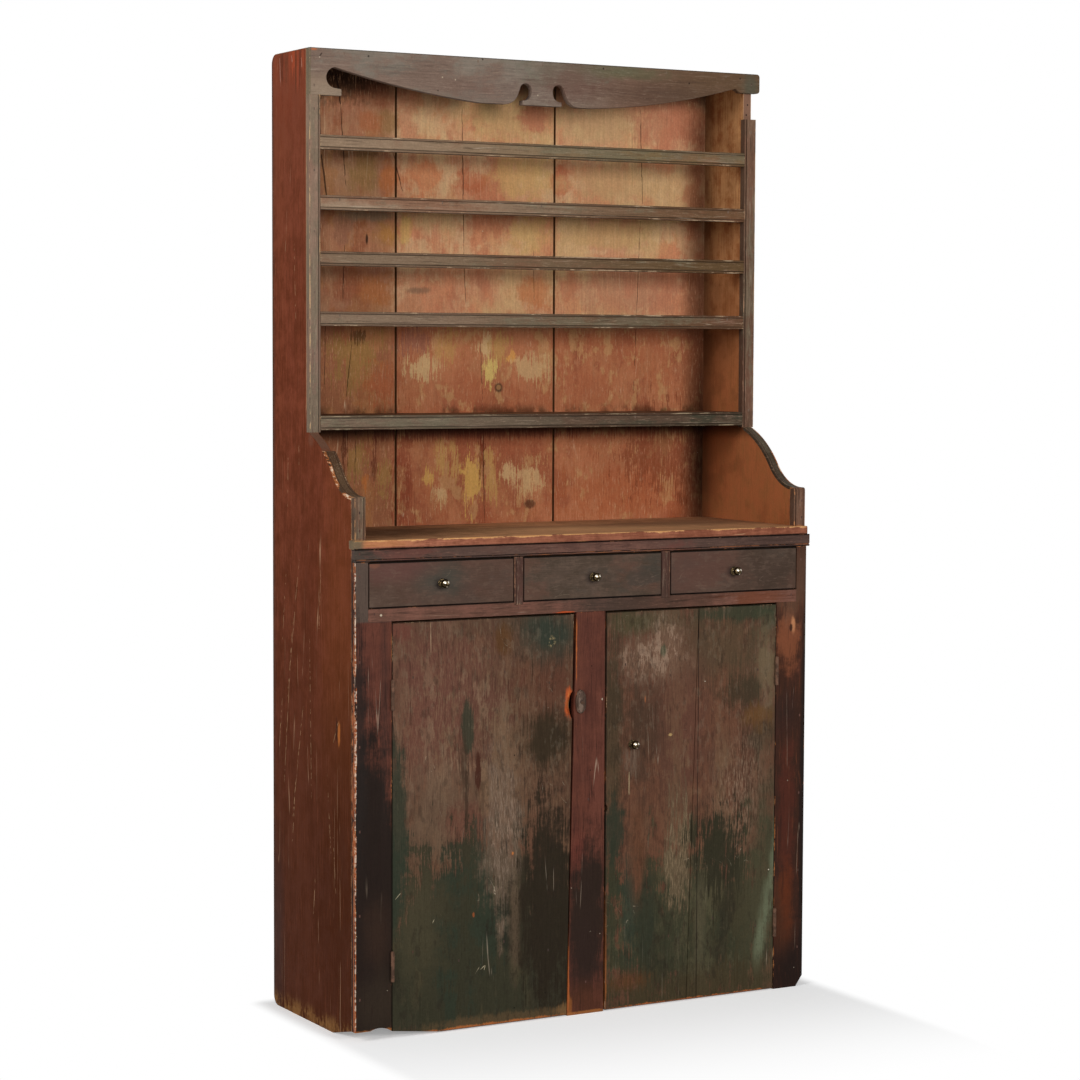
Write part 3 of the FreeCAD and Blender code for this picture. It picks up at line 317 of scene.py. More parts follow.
def make_groups():
    """The effects that many materials share."""
    here = (0.0, 0.0, 0.0)
    make_group("wood_grain", {"Vector": here, "Stretch": (1.0, 1.0, 1.0), "Fibres": 1.0},
               ("Fine", "Broad", "Dash", "Grit", "Tear"), wood_grain)
    make_group("ragged_patch", {"Vector": here, "Centre": here, "Radius": (1.0, 1.0, 1.0), "Feather": 0.3,
                                "Ragged": 0.5, "Noise": 0.5}, ("Mask",), ragged_patch)
    make_group("edge_wear", {"Vector": here, "Low": here, "High": here, "Reach": 0.002, "Amount": 0.5,
                             "Noise": 0.5}, ("Mask",), edge_wear)
    make_group("scratch_lines", {"Vector": here, "Stretch": (1.0, 1.0, 1.0), "Width": 0.01, "Share": 0.5},
               ("Mask",), scratch_lines)
    make_group("paint_flecks", {"Vector": here, "Scale": 60.0, "Size": 0.2, "Share": 0.1},
               ("Mask",), paint_flecks)
    make_group("long_stroke", {"Vector": here, "Start": here, "End": here, "Plane": (1.0, 0.0, 1.0),
                               "Width": 0.001, "Wander": 0.004, "Core": 0.5}, ("Mask",), long_stroke)


# -------------------------------------------------------------------------------------------------
# Finishes
# -------------------------------------------------------------------------------------------------
ACROSS_GRAIN = 170.0    # fibres in a metre across the board
ALONG_GRAIN = 6.0
FAR = 10.0              # a radius that leaves an axis out
MM = 0.001
QUIRK = 0.0054          # from a strip's edge to the middle of the groove beside its bead


def new_material(name):
    """An empty material, the short calls for its tree, and its shader."""
    material = bpy.data.materials.new(name)
    material.use_nodes = True
    return material, Tree(material.node_tree), material.node_tree.nodes["Principled BSDF"]


class Coat:
    """The finish of one piece: a grained ground with colours laid over it, each through its own mask.

    Marks are placed in millimetres from the lower corner of the piece's box, across and up its face.
    """

    def __init__(self, name, box, dark, light, along="z", face="xz", fibres=1.0):
        self.material, self.tree, self.shader = new_material(name)
        self.low, self.high = box
        self.face = ["xyz".index(axis) for axis in face]
        self.place = self.tree.node("TexCoord").outputs["Object"]
        self.stretch = [ACROSS_GRAIN] * 3
        self.stretch["xyz".index(along)] = ALONG_GRAIN
        grain = self.tree.group("wood_grain", vector=self.place, stretch=self.stretch, fibres=fibres)
        self.fine, self.broad, self.dash, self.grit, self.tear = (grain[i] for i in range(5))
        self.height = self.tree.scaled(self.dash, 0.6, self.fine)
        self.colour = self.tree.mix(self.tree.ease(self.tear, 0.32, 0.68), colour(dark), colour(light))

    def spot_on(self, across, up):
        """A point of the face, from millimetres."""
        point = Vector((0, 0, 0))
        for axis, distance in zip(self.face, (across, up)):
            point[axis] = self.low[axis] + distance * MM
        return point

    def thin(self, mask, strength):
        """A mask at a part of its strength."""
        return mask if strength == 1.0 else self.tree.times(mask, strength)

    def over(self, mask, shade, strength=1.0):
        """Lay a colour over what is there."""
        self.colour = self.tree.mix(self.thin(mask, strength), self.colour, colour(shade))

    def patch_mask(self, across, up, wide, tall, feather=0.4, ragged=1.2, streaky=0.0):
        """An oval place on the face, ragged along the grain; streaky draws its edge into long fibres."""
        radius = [FAR] * 3
        radius[self.face[0]] = wide * MM
        radius[self.face[1]] = tall * MM
        torn = self.tear
        if streaky:
            torn = self.tree.scaled(self.tree.minus(self.fine, 0.5), streaky, torn)
        return self.tree.group("ragged_patch", vector=self.place, centre=self.spot_on(across, up),
                               radius=radius, feather=feather, ragged=ragged, noise=torn)[0]

    def patch(self, shade, across, up, wide, tall, feather=0.4, ragged=1.2, strength=1.0, streaky=0.0):
        """A patch of colour, ragged along the grain."""
        self.over(self.patch_mask(across, up, wide, tall, feather, ragged, streaky), shade, strength)

    def patches(self, *rows):
        """Several patches, one over another."""
        for row in rows:
            self.patch(*row)

    def streaks(self, shade, low=0.5, high=0.62, strength=1.0, within=None):
        """Colour left in the grain, over the whole piece or within a mask."""
        self.lay(self.tree.ease(self.fine, low, high), shade, strength, within)

    def hairs(self, shade, low=0.5, high=0.6, strength=1.0, within=None):
        """Short hairlines along the grain, over the whole piece or within a mask."""
        self.lay(self.tree.ease(self.dash, low, high), shade, strength, within)

    def lay(self, mask, shade, strength, within):
        """Lay a colour through a mask, only where another mask lets it."""
        if within is not None:
            mask = self.tree.times(mask, within)
        self.over(mask, shade, strength)

    def clouds(self, shade, scale, low, high, strength=1.0, within=None, drawn=1.0, crisp=0.35):
        """Blotches; drawn makes them longer along the grain and crisp breaks up their edges."""
        squeeze = [1.0 if s == ACROSS_GRAIN else 1.0 / drawn for s in self.stretch]
        noise = self.tree.noise(self.tree.vector("MULTIPLY", self.place, squeeze), scale, 7.0, 0.62)
        torn = self.tree.scaled(self.tear, crisp, noise)
        middle = 0.5 * crisp
        self.lay(self.tree.ease(torn, low + middle, high + middle), shade, strength, within)

    def fade(self, shade, axis, start, end, strength=1.0):
        """Colour that grows from start to end along an axis, in metres."""
        self.over(self.tree.ease(self.along(axis), start, end), shade, strength)

    def worn(self, shade="primer_orange", amount=0.55, reach=1.0, strength=1.0):
        """Bare wood along the arrises; called with a dark colour, a rim of painted shade instead."""
        size = bpy.context.scene.cupboard_sizes.wear_reach * reach
        mask = self.tree.group("edge_wear", vector=self.place, low=self.low, high=self.high, reach=size,
                               amount=amount, noise=self.tear)[0]
        self.over(mask, shade, strength)

    def scratches(self, shade, width=0.012, share=0.5, strength=0.7, tilt=0.0):
        """Thin pale scratches, mostly along the grain."""
        place = self.place
        if tilt:
            turned = self.tree.node("VectorRotate", {0: place, "Rotation": (tilt, tilt, tilt)},
                                    rotation_type="EULER_XYZ")
            place = turned.outputs[0]
        stretch = [s * (0.5 if s == ACROSS_GRAIN else 0.6) for s in self.stretch]
        mask = self.tree.group("scratch_lines", vector=place, stretch=stretch, width=width, share=share)[0]
        self.over(mask, shade, strength)

    def flecks(self, shade, scale=70.0, size=0.16, share=0.06, strength=0.8):
        """Small specks."""
        mask = self.tree.group("paint_flecks", vector=self.place, scale=scale, size=size, share=share)[0]
        self.over(mask, shade, strength)

    def stroke(self, shade, start, end, width, wander=4.0, core=0.5, strength=1.0, sink=0.0):
        """A line from one place to another, in millimetres; sink presses it into the surface."""
        plane = [1.0 if axis in self.face else 0.0 for axis in range(3)]
        mask = self.tree.group("long_stroke", vector=self.place, start=self.spot_on(*start),
                               end=self.spot_on(*end), plane=plane, width=width * MM,
                               wander=wander * MM, core=core)[0]
        self.over(mask, shade, strength)
        if sink:
            self.height = self.tree.minus(self.height, self.tree.times(mask, sink))

    def line(self, shade, axis, place, half, strength=1.0, broken=None, within=None):
        """A thin level or upright line at a place, in metres, kept only where the noise passes broken."""
        off = self.tree.math("ABSOLUTE", self.tree.minus(self.along(axis), place))
        mask = self.tree.ease(off, half, half * 0.55)
        if broken is not None:
            mask = self.tree.times(mask, self.tree.ease(self.tear, broken, broken + 0.05))
        self.lay(mask, shade, strength, within)

    def along(self, axis):
        """How far a point is along an axis, in metres."""
        return self.tree.axes(self.place)["xyz".index(axis)]

    def pine(self):
        """Unpainted wood."""
        return self.tree.mix(self.tear, colour("#6f5238"), colour("bare_pine"))

    def bare(self, axis, start, end):
        """Unpainted wood beyond a plane, which the paint only just runs over."""
        self.colour = self.tree.mix(self.tree.ease(self.along(axis), start, end), self.colour, self.pine())

    def bare_back(self):
        """Unpainted wood on the back of a piece that is painted in front and on its edges."""
        self.bare("y", self.high.y - 0.0012, self.high.y - 0.0006)

    def done(self, roughness=0.66, bump=0.35, specular=0.05, uneven=0.5):
        """The finished material; uneven is how much its lightness varies over short distances."""
        rough = self.tree.ease(self.tear, 0.3, 0.7, roughness + 0.07, roughness - 0.07)
        height = self.tree.node("Bump", {"Strength": bump, "Distance": 0.0008, "Height": self.height})
        varied = self.tree.plus(self.tree.plus(self.grit, self.dash), self.fine)
        lightness = self.tree.scaled(varied, uneven, 1.0 - 1.5 * uneven)
        shown = self.tree.node("VectorMath", {0: self.colour, "Scale": lightness}, operation="SCALE")
        links = self.material.node_tree.links
        links.new(shown.outputs[0], self.shader.inputs["Base Color"])
        links.new(rough, self.shader.inputs["Roughness"])
        links.new(height.outputs[0], self.shader.inputs["Normal"])
        self.shader.inputs["Specular IOR Level"].default_value = specular
        return self.material


def around(*nodes):
    """The box around some nodes."""
    corners = [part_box(node) for node in nodes]
    low = Vector(min(c[0][i] for c in corners) for i in range(3))
    high = Vector(max(c[1][i] for c in corners) for i in range(3))
    return low, high


UPPER_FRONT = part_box("face_strip_left")[1].y
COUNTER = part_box("counter_board")[1].z
UNDER_COUNTER = COUNTER - 0.018
LOWEST_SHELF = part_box("shelf_edge_lower")


def painted_shade_under_shelf(tree, z):
    """Where painted shade darkens the boards under the lowest shelf."""
    foot = LOWEST_SHELF[0].z
    return tree.band(z, foot - 0.0395, foot - 0.0055, foot + 0.0045, foot + 0.0185)


def side_paint(node):
    """Brick red outside; browner inside, above the counter, and bare below it."""
    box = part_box(node)
    coat = Coat(node + "_paint", box, "#5a2b18", "side_red", "z", "yz", 0.6)
    tree, (low, high) = coat.tree, box
    x, y, z = tree.axes(coat.place)
    coat.clouds("#7b3f27", 4.0, 0.48, 0.66, 0.4, drawn=4.0)
    coat.clouds("#512a1a", 7.0, 0.53, 0.68, 0.35, drawn=6.0)
    coat.fade("#3f2011", "z", 1.45, 0.20, 0.80)
    coat.patches(
        ("#6d3a1c", 50, 760, 80, 380, 0.9, 1.2, 0.4), ("#3c1a08", 60, 320, 90, 320, 0.9, 1.0, 0.8))
    coat.fade("#7c4532", "z", 1.5, 1.9, 0.25)
    coat.patch("#7c3b27", 320, 2085, 130, 90, 0.9, 2.4, 0.55, 2.0)
    for shade, across, up, wide, tall in (
            ("#9c472c", 286, 2092, 10, 30), ("#8e432b", 264, 2078, 7, 46), ("#96492f", 240, 2096, 6, 24),
            ("#8a422c", 306, 2098, 5, 44), ("#5a3422", 324, 2070, 7, 40), ("#4f2c20", 252, 2080, 4, 40),
            ("#54301f", 275, 2070, 3, 44), ("#502a1c", 346, 2085, 6, 46), ("#84432c", 384, 2086, 8, 36)):
        coat.patch(shade, across, up, wide, tall, 0.5, 3.2, 0.7, 2.0)
    for start, end, width in (
            ((406, 2098), (402, 2035), 1.8), ((358, 2100), (355, 2036), 1.2),
            ((246, 2092), (243, 2070), 1.4), ((296, 2102), (292, 2080), 1.0)):
        coat.stroke("#c9a08c", start, end, width, 4.0, 0.3, 0.8)
    coat.patches(
        ("#3f3028", 402, 1100, 12, 1300, 0.8, 0.8, 0.6), ("#3a2a26", 385, 150, 36, 190, 0.8, 1.0, 0.6))
    coat.streaks("#84492e", 0.58, 0.70, 0.25)
    coat.patch("#6d4c3c", 200, 1272, 12, 14, 0.5, 2.4, 0.35)
    coat.streaks("#3c2015", 0.40, 0.30, 0.3)
    coat.line("#2a1812", "y", high.y - 0.0012, 0.0026, 0.75)
    coat.scratches("#b08a6a", 0.010, 0.56, 0.6)
    for start, end in (
            ((259, 1020), (325, 700)), ((297, 875), (344, 500)), ((208, 840), (199, 480)),
            ((262, 1265), (262, 1195)), ((60, 684), (88, 627)), ((285, 1700), (275, 1500)),
            ((330, 980), (352, 820)), ((240, 700), (300, 430)), ((120, 560), (100, 380)),
            ((352, 700), (372, 560)), ((150, 1000), (160, 860)), ((90, 430), (76, 300)),
            ((282, 520), (300, 380)), ((180, 330), (190, 240)), ((318, 1240), (322, 1120))):
        coat.stroke("#b8956e", start, end, 1.1, 10.0, 0.2, 0.75)
    coat.patches(
        ("#2c1710", 72, 655, 5, 26, 0.4, 1.6, 0.8), ("#a8622f", 60, 648, 6, 22, 0.4, 2.4, 0.8))
    coat.flecks("#cdb594", 30.0, 0.085, 0.10, 0.85)
    coat.flecks("#2c1811", 34.0, 0.09, 0.08, 0.7)
    if node == "side_left":
        inside = tree.ease(x, high.x - 0.001, high.x)
    else:
        inside = tree.ease(x, low.x + 0.001, low.x)
    brown = tree.mix(tree.ease(z, 1.9, 1.3), colour("#b9885a"), colour("#985936"))
    stained = tree.ease(tree.noise(coat.place, 9.0, 6.0, 0.6), 0.50, 0.62)
    # The last row darkens the inside towards the back boards: painted shade in that corner.
    for mask, strength, shade in (
            (tree.ease(coat.tear, 0.40, 0.68), 1.0, "#8e5834"),
            (tree.ease(coat.fine, 0.5, 0.66), 0.28, "#5d3a22"), (stained, 0.28, "#54301c"),
            (tree.ease(y, high.y - 0.09, high.y - 0.02), 0.6, "#3f2417")):
        brown = tree.mix(coat.thin(mask, strength), brown, colour(shade))
    brown = tree.mix(tree.ease(z, UNDER_COUNTER, UNDER_COUNTER - 0.002), brown, coat.pine())
    # Painted shade under the lowest shelf darkens the inside.
    brown = tree.mix(coat.thin(painted_shade_under_shelf(tree, z), 0.7), brown, colour("#22130c"))
    coat.colour = tree.mix(inside, coat.colour, brown)
    front_edge = tree.times(tree.ease(y, UPPER_FRONT + 0.0010, UPPER_FRONT + 0.0005),
                            tree.ease(z, 1.33, 1.34))
    coat.over(front_edge, "#7a5d4c", 0.9)
    for arris in (low.x, high.x):
        coat.line("#b58c64", "x", arris, 0.0018, 0.7, None, front_edge)
    ogee_end = tree.band(z, 1.236, 1.262, 1.300, 1.310)
    inset = tree.math("MINIMUM", tree.minus(x, low.x), tree.minus(high.x, x))
    coat.lay(ogee_end, "#66493a", 0.9, tree.ease(inset, 0.0006, 0.0014))
    if node == "side_right":
        # Two empty holes on the front edge, painted as dark discs of shade.
        for hole in ((low.x + 0.0125, 0, 2.0400), (low.x + 0.0090, 0, 2.0165)):
            away = tree.vector("MULTIPLY", tree.vector("SUBTRACT", coat.place, hole), (1, 0, 1))
            hole_shade = tree.ease(tree.vector("LENGTH", away, out=1), 0.0024, 0.0016)
            coat.lay(hole_shade, "#20140f", 0.95, front_edge)
    coat.worn("#c49a6c", 0.50, 0.5, 0.8)
    coat.worn("primer_orange", 0.47, 0.4, 0.85)
    coat.lay(tree.ease(z, 0.045, 0.01), "#8a6238", 0.75, tree.ease(coat.tear, 0.42, 0.6))
    coat.bare("z", high.z - 0.0012, high.z - 0.0006)
    coat.bare_back()
    return coat.done(0.62, 0.3, 0.02, 0.3)


def back_paint():
    """Mottled salmon and ochre on the wide back boards; the reverse is bare."""
    low, high = around("backboard_left", "backboard_centre", "backboard_right")
    coat = Coat("back_paint", (low, high), "back_salmon", "#c48f6c", "z", fibres=0.2)
    tree = coat.tree
    x, _, z = tree.axes(coat.place)
    left_board = tree.ease(x, -0.27, -0.31)
    lower = tree.ease(z, 1.54, 1.50)
    coat.clouds("back_ochre", 6.0, 0.44, 0.58, 0.8, drawn=1.3, crisp=0.15)
    coat.clouds("#c47c57", 10.0, 0.48, 0.60, 0.6, drawn=1.5, crisp=0.15)
    coat.clouds("#caa87d", 17.0, 0.51, 0.62, 0.6, drawn=1.3, crisp=0.3)
    coat.clouds("#ac6649", 12.0, 0.55, 0.64, 0.6, drawn=1.8, crisp=0.3)
    for shade, across, up, wide, tall in (
            ("#c49e64", 612, 1856, 76, 48), ("#c39c62", 628, 1726, 50, 36), ("#c6a05d", 310, 1728, 14, 32),
            ("#b48b55", 252, 1712, 30, 34), ("#bd9a68", 580, 1990, 110, 50), ("#bb7649", 648, 1590, 46, 34),
            ("#c3754c", 352, 1850, 44, 40), ("#ac5d3d", 470, 1840, 40, 24), ("#b35d3d", 712, 1858, 22, 46),
            ("#bd9c70", 815, 1985, 110, 50), ("#b47357", 1000, 1990, 90, 60),
            ("#bf9a6c", 860, 1850, 120, 46), ("#bf9b68", 850, 1730, 120, 34),
            ("#b3785b", 900, 1600, 160, 50), ("#b0634c", 640, 2000, 40, 34)):
        coat.patch(shade, across, up, wide, tall, 0.4, 3.0, 0.7)
    coat.over(lower, "#985436", 0.82)
    coat.clouds("#ac6d4b", 9.0, 0.47, 0.60, 0.7, lower, 1.6, 0.3)
    coat.clouds("#884730", 8.0, 0.52, 0.62, 0.6, lower, 2.0, 0.4)
    coat.clouds("#b28759", 22.0, 0.56, 0.62, 0.6, lower, 1.8, 0.6)
    coat.over(left_board, "#905f47", 0.7)
    low_left = tree.times(left_board, lower)
    coat.over(low_left, "#875436", 0.6)
    coat.clouds("#a16e42", 13.0, 0.52, 0.60, 0.5, left_board, 1.8, 0.5)
    coat.clouds("#8b5034", 10.0, 0.53, 0.62, 0.6, left_board, 1.8, 0.4)
    # The first row, #3c281a at the top left, is painted shadow under the frieze.
    for shade, across, up, wide, tall in (
            ("#3c281a", 90, 2045, 130, 38), ("#8f6a42", 262, 1968, 24, 30), ("#a86440", 218, 1962, 28, 24),
            ("#8a6a40", 208, 1855, 34, 46), ("#b0683a", 264, 1842, 20, 36), ("#5e4028", 190, 1902, 70, 14),
            ("#7d6a54", 205, 1757, 70, 12), ("#a8743c", 262, 1718, 22, 24), ("#8c5f48", 150, 1720, 22, 40),
            ("#a8663a", 236, 1588, 44, 36), ("#8f5238", 160, 1600, 30, 40)):
        coat.patch(shade, across, up, wide, tall, 0.5, 3.0, 0.75)
    tan, yellow, cream = "#b0854f", "#c19551", "#bf9c6e"
    for shade, across, up, wide, tall, strength in (
            ("#8e6c3c", 185, 1436, 60, 50, 0.7), ("#9f5736", 248, 1372, 36, 48, 0.7),
            ("#51321f", 192, 1490, 24, 11, 0.7), ("#8b5947", 336, 1474, 38, 28, 0.7),
            (cream, 362, 1420, 40, 22, 0.9), (tan, 412, 1464, 30, 36, 0.7),
            (cream, 516, 1466, 16, 34, 0.95), (tan, 550, 1460, 24, 32, 0.85),
            ("#ca904d", 582, 1444, 11, 15, 0.85), (cream, 634, 1416, 46, 24, 0.75),
            ("#c8aa64", 523, 1408, 16, 26, 0.95), ("#906c3d", 186, 1210, 18, 46, 0.75),
            ("#967040", 252, 1168, 18, 40, 0.75), ("#52281a", 157, 1240, 6, 40, 0.7),
            ("#5e2d1f", 231, 1207, 6, 42, 0.7), ("#b06633", 208, 1155, 7, 22, 0.7),
            ("#813e29", 303, 1180, 18, 110, 0.6), (yellow, 366, 1168, 11, 18, 0.85),
            (tan, 402, 1210, 14, 42, 0.9), (cream, 400, 1128, 15, 22, 0.85), (tan, 433, 1205, 9, 48, 0.85),
            (yellow, 482, 1158, 19, 52, 0.95), ("#71311e", 508, 1215, 8, 42, 0.8),
            (tan, 532, 1165, 15, 52, 0.9), (cream, 572, 1180, 14, 24, 0.85),
            (cream, 634, 1155, 38, 34, 0.85), ("#713729", 470, 1275, 220, 16, 0.6),
            ("#a25936", 900, 1120, 180, 60, 0.5), ("#7a3e28", 1000, 1220, 100, 80, 0.6)):
        coat.patch(shade, across, up, wide, tall, 0.12, 4.4, strength, 0.9)
    coat.patch("#6a442e", 40, 1650, 56, 420, 0.7, 1.4, 0.6)
    # Painted shade across the top of the back boards, under the top board and the frieze.
    coat.fade("#1c110c", "z", 2.02, 2.075, 0.88)
    # Painted shade down the right inner corner, beside the right side board.
    coat.patch("#673b27", 1085, 1600, 34, 620, 0.8, 0.8, 0.7)
    coat.hairs("#8b573a", 0.56, 0.64, 0.4)
    coat.hairs("#ceaa83", 0.60, 0.68, 0.4)
    coat.scratches("#d6ba95", 0.006, 0.50, 0.5)
    coat.flecks("#3d281b", 30.0, 0.07, 0.14, 0.8)
    coat.flecks("#dac8a8", 34.0, 0.05, 0.10, 0.8)
    shelf_top = LOWEST_SHELF[1].z
    # Darker blotches in a band along the top edge of the lowest shelf.
    band_above_shelf = tree.band(z, shelf_top - 0.0225, shelf_top - 0.0025, shelf_top - 0.0005, shelf_top + 0.0255)
    coat.clouds("#371f0e", 16.0, 0.44, 0.60, 0.75, band_above_shelf, 2.0, 0.5)
    # Painted shade under the lowest shelf.
    coat.over(painted_shade_under_shelf(tree, z), "#1a0f09", 0.85)
    # Painted shade in the right corner of the lowest open bay.
    coat.patch("#1f130c", 1112, 1190, 40, 170, 0.9, 0.2, 0.85)
    for joint in ("backboard_centre", "backboard_right"):
        coat.line("#140c08", "x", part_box(joint)[0].x, 0.0010, 0.8)
    for start, end, width in (
            ((92, 2040), (100, 1905), 2.8), ((100, 1890), (113, 1790), 3.0),
            ((137, 2070), (147, 2000), 3.0), ((147, 2000), (160, 1821), 1.6),
            ((277, 1900), (302, 1812), 1.5), ((157, 1690), (152, 1560), 1.4),
            ((174, 1470), (160, 1345), 1.3), ((452, 2016), (458, 1682), 1.5),
            ((457, 1682), (463, 1560), 1.1), ((500, 1490), (508, 1330), 1.0),
            ((508, 1290), (513, 1060), 1.3), ((927, 2032), (935, 1800), 1.4),
            ((930, 1790), (913, 1350), 1.0), ((186, 1300), (180, 1120), 1.0),
            ((640, 1690), (642, 1570), 0.8), ((110, 1540), (106, 1350), 1.0)):
        coat.stroke("#23150e", start, end, width * 1.15, 5.0, 0.3, 0.85, 1.4)
    coat.patches(
        ("#483425", 549, 1371, 10, 11, 0.3, 0.8, 0.85), ("#966c45", 549, 1372, 6, 6, 0.3, 0.6, 0.85),
        ("#392317", 631, 1100, 12, 10, 0.4, 3.0, 0.7), ("#2b1c13", 212, 1705, 3, 11, 0.4, 0.8, 0.9),
        ("#6c5947", 345, 1592, 30, 7, 0.5, 2.4, 0.6))
    coat.bare("z", UNDER_COUNTER, UNDER_COUNTER - 0.003)
    coat.bare("y", low.y + 0.002, low.y + 0.003)
    return coat.done(0.68, 0.3, uneven=0.5)


def trim_paint(node, left, right, warm, wear, along="x", amount=0.5, plain=None):
    """Grey-brown paint of the strips, from one end's colour to the other's, with worn beads.

    plain names the edge, low or high, that lies against nothing and has no bead.
    """
    low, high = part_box(node)
    coat = Coat(node + "_paint", (low, high), left, left, along)
    axis = "x" if along == "x" else "z"
    index = "xyz".index(axis)
    coat.fade(right, axis, low[index] + 0.08, high[index] - 0.05)
    coat.clouds(warm, 8.0, 0.49, 0.62, 0.65, drawn=4.0, crisp=0.4)
    coat.clouds("#5f5d4b", 11.0, 0.51, 0.62, 0.5, drawn=5.0, crisp=0.5)
    coat.streaks("#9a8674", 0.58, 0.70, 0.3)
    coat.streaks("#33261f", 0.42, 0.34, 0.4)
    coat.hairs("#a8927c", 0.60, 0.68, 0.3)
    edges = {"x": "z", "z": "x", "y": "x"}[along]
    side = "xyz".index(edges)
    for place in (low[side], high[side]):
        if plain == ("low" if place == low[side] else "high"):
            face = coat.tree.ease(coat.along("y"), low.y + 0.0025, low.y + 0.0010)
            coat.line("#c2a680", edges, place, 0.0018, 0.8, 0.5, face)
            continue
        inward = QUIRK if place == low[side] else -QUIRK
        coat.line("#211610", edges, place + inward, 0.0009, 0.7)
        coat.line("#4a3125", edges, place + inward * 0.5, 0.0020, 0.35)
        coat.line("#1f1510", edges, place, 0.0009, 0.45)
        coat.line(wear, edges, place + inward * 0.3, 0.0014, 0.5, broken=0.56)
    if along == "y":
        outer = low.x if node.endswith("left") else high.x
        coat.line("#a8602f", "x", outer, 0.0040, 0.9, broken=0.44)
        coat.line("#d6c2a8", "x", outer, 0.0030, 0.9, broken=0.53)
    coat.worn(wear, amount, 0.7, 0.6)
    coat.scratches("#b9a892", 0.007, 0.5, 0.5)
    coat.flecks("#2a1f19", 40.0, 0.08, 0.12, 0.8)
    coat.flecks("#d2c4ae", 46.0, 0.06, 0.10, 0.85)
    if along == "x":
        coat.bare_back()
    return coat.done(0.64, 0.35, uneven=0.5)


def frieze_paint():
    """The frieze fades from a pale grey-tan hook to a dark brown end."""
    low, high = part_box("frieze_board")
    coat = Coat("frieze_paint", (low, high), "#6f655a", "trim_grey", "x", fibres=0.4)
    coat.fade("#654a3b", "x", -0.05, 0.25, 0.9)
    coat.fade("#553d2d", "x", 0.2, 0.5, 0.9)
    coat.clouds("#694e42", 7.0, 0.50, 0.60, 0.6, drawn=3.0, crisp=0.4)
    coat.clouds("#5c5a4b", 8.0, 0.53, 0.62, 0.5, drawn=3.0, crisp=0.4)
    coat.fade("#5c4833", "x", 0.2, 0.5, 0.55)
    coat.patches(
        ("#86725f", 40, 16, 64, 26, 0.6, 1.6, 0.85), ("#604238", 650, 60, 80, 40, 0.7, 2.4, 0.6),
        ("#684f45", 500, 30, 120, 30, 0.8, 2.0, 0.5), ("#58573f", 790, 85, 110, 14, 0.6, 2.4, 0.6),
        ("#4a4a3d", 1130, 60, 20, 46, 0.6, 1.4, 0.7), ("#4a382e", 900, 40, 150, 26, 0.8, 2.0, 0.5))
    coat.streaks("#8c7d6e", 0.58, 0.70, 0.2)
    coat.streaks("#40312a", 0.42, 0.32, 0.25)
    coat.hairs("#9d8c7b", 0.60, 0.68, 0.2)
    coat.scratches("#b4a390", 0.006, 0.5, 0.35)
    coat.line("#5f553f", "x", low.x, 0.0042, 0.6)
    coat.stroke("#2a1c16", (24, 82), (30, 90), 2.2, 3.0, 0.3, 0.8)
    coat.patch("#a8603a", 12, 97, 9, 4, 0.3, 3.0, 0.8)
    for across, up in ((320, 52), (352, 48), (24, 80), (560, 24)):
        coat.patch("#ab9c86", across, up, 1.5, 1.5, 0.4, 0.3, 0.8)
    for across, up in ((140, 88), (420, 96), (730, 92), (960, 70), (1100, 88)):
        coat.patch("#231a15", across, up, 2.2, 2.2, 0.4, 0.3, 0.8)
    coat.flecks("#2c221c", 30.0, 0.08, 0.14, 0.8)
    coat.flecks("#c8bba6", 42.0, 0.05, 0.08, 0.8)
    coat.worn("#8f7a62", 0.5, 0.6, 0.8)
    coat.line("#2c221a", "z", high.z, 0.0022, 0.7)
    coat.bare_back()
    return coat.done(0.62, 0.3, uneven=0.4)


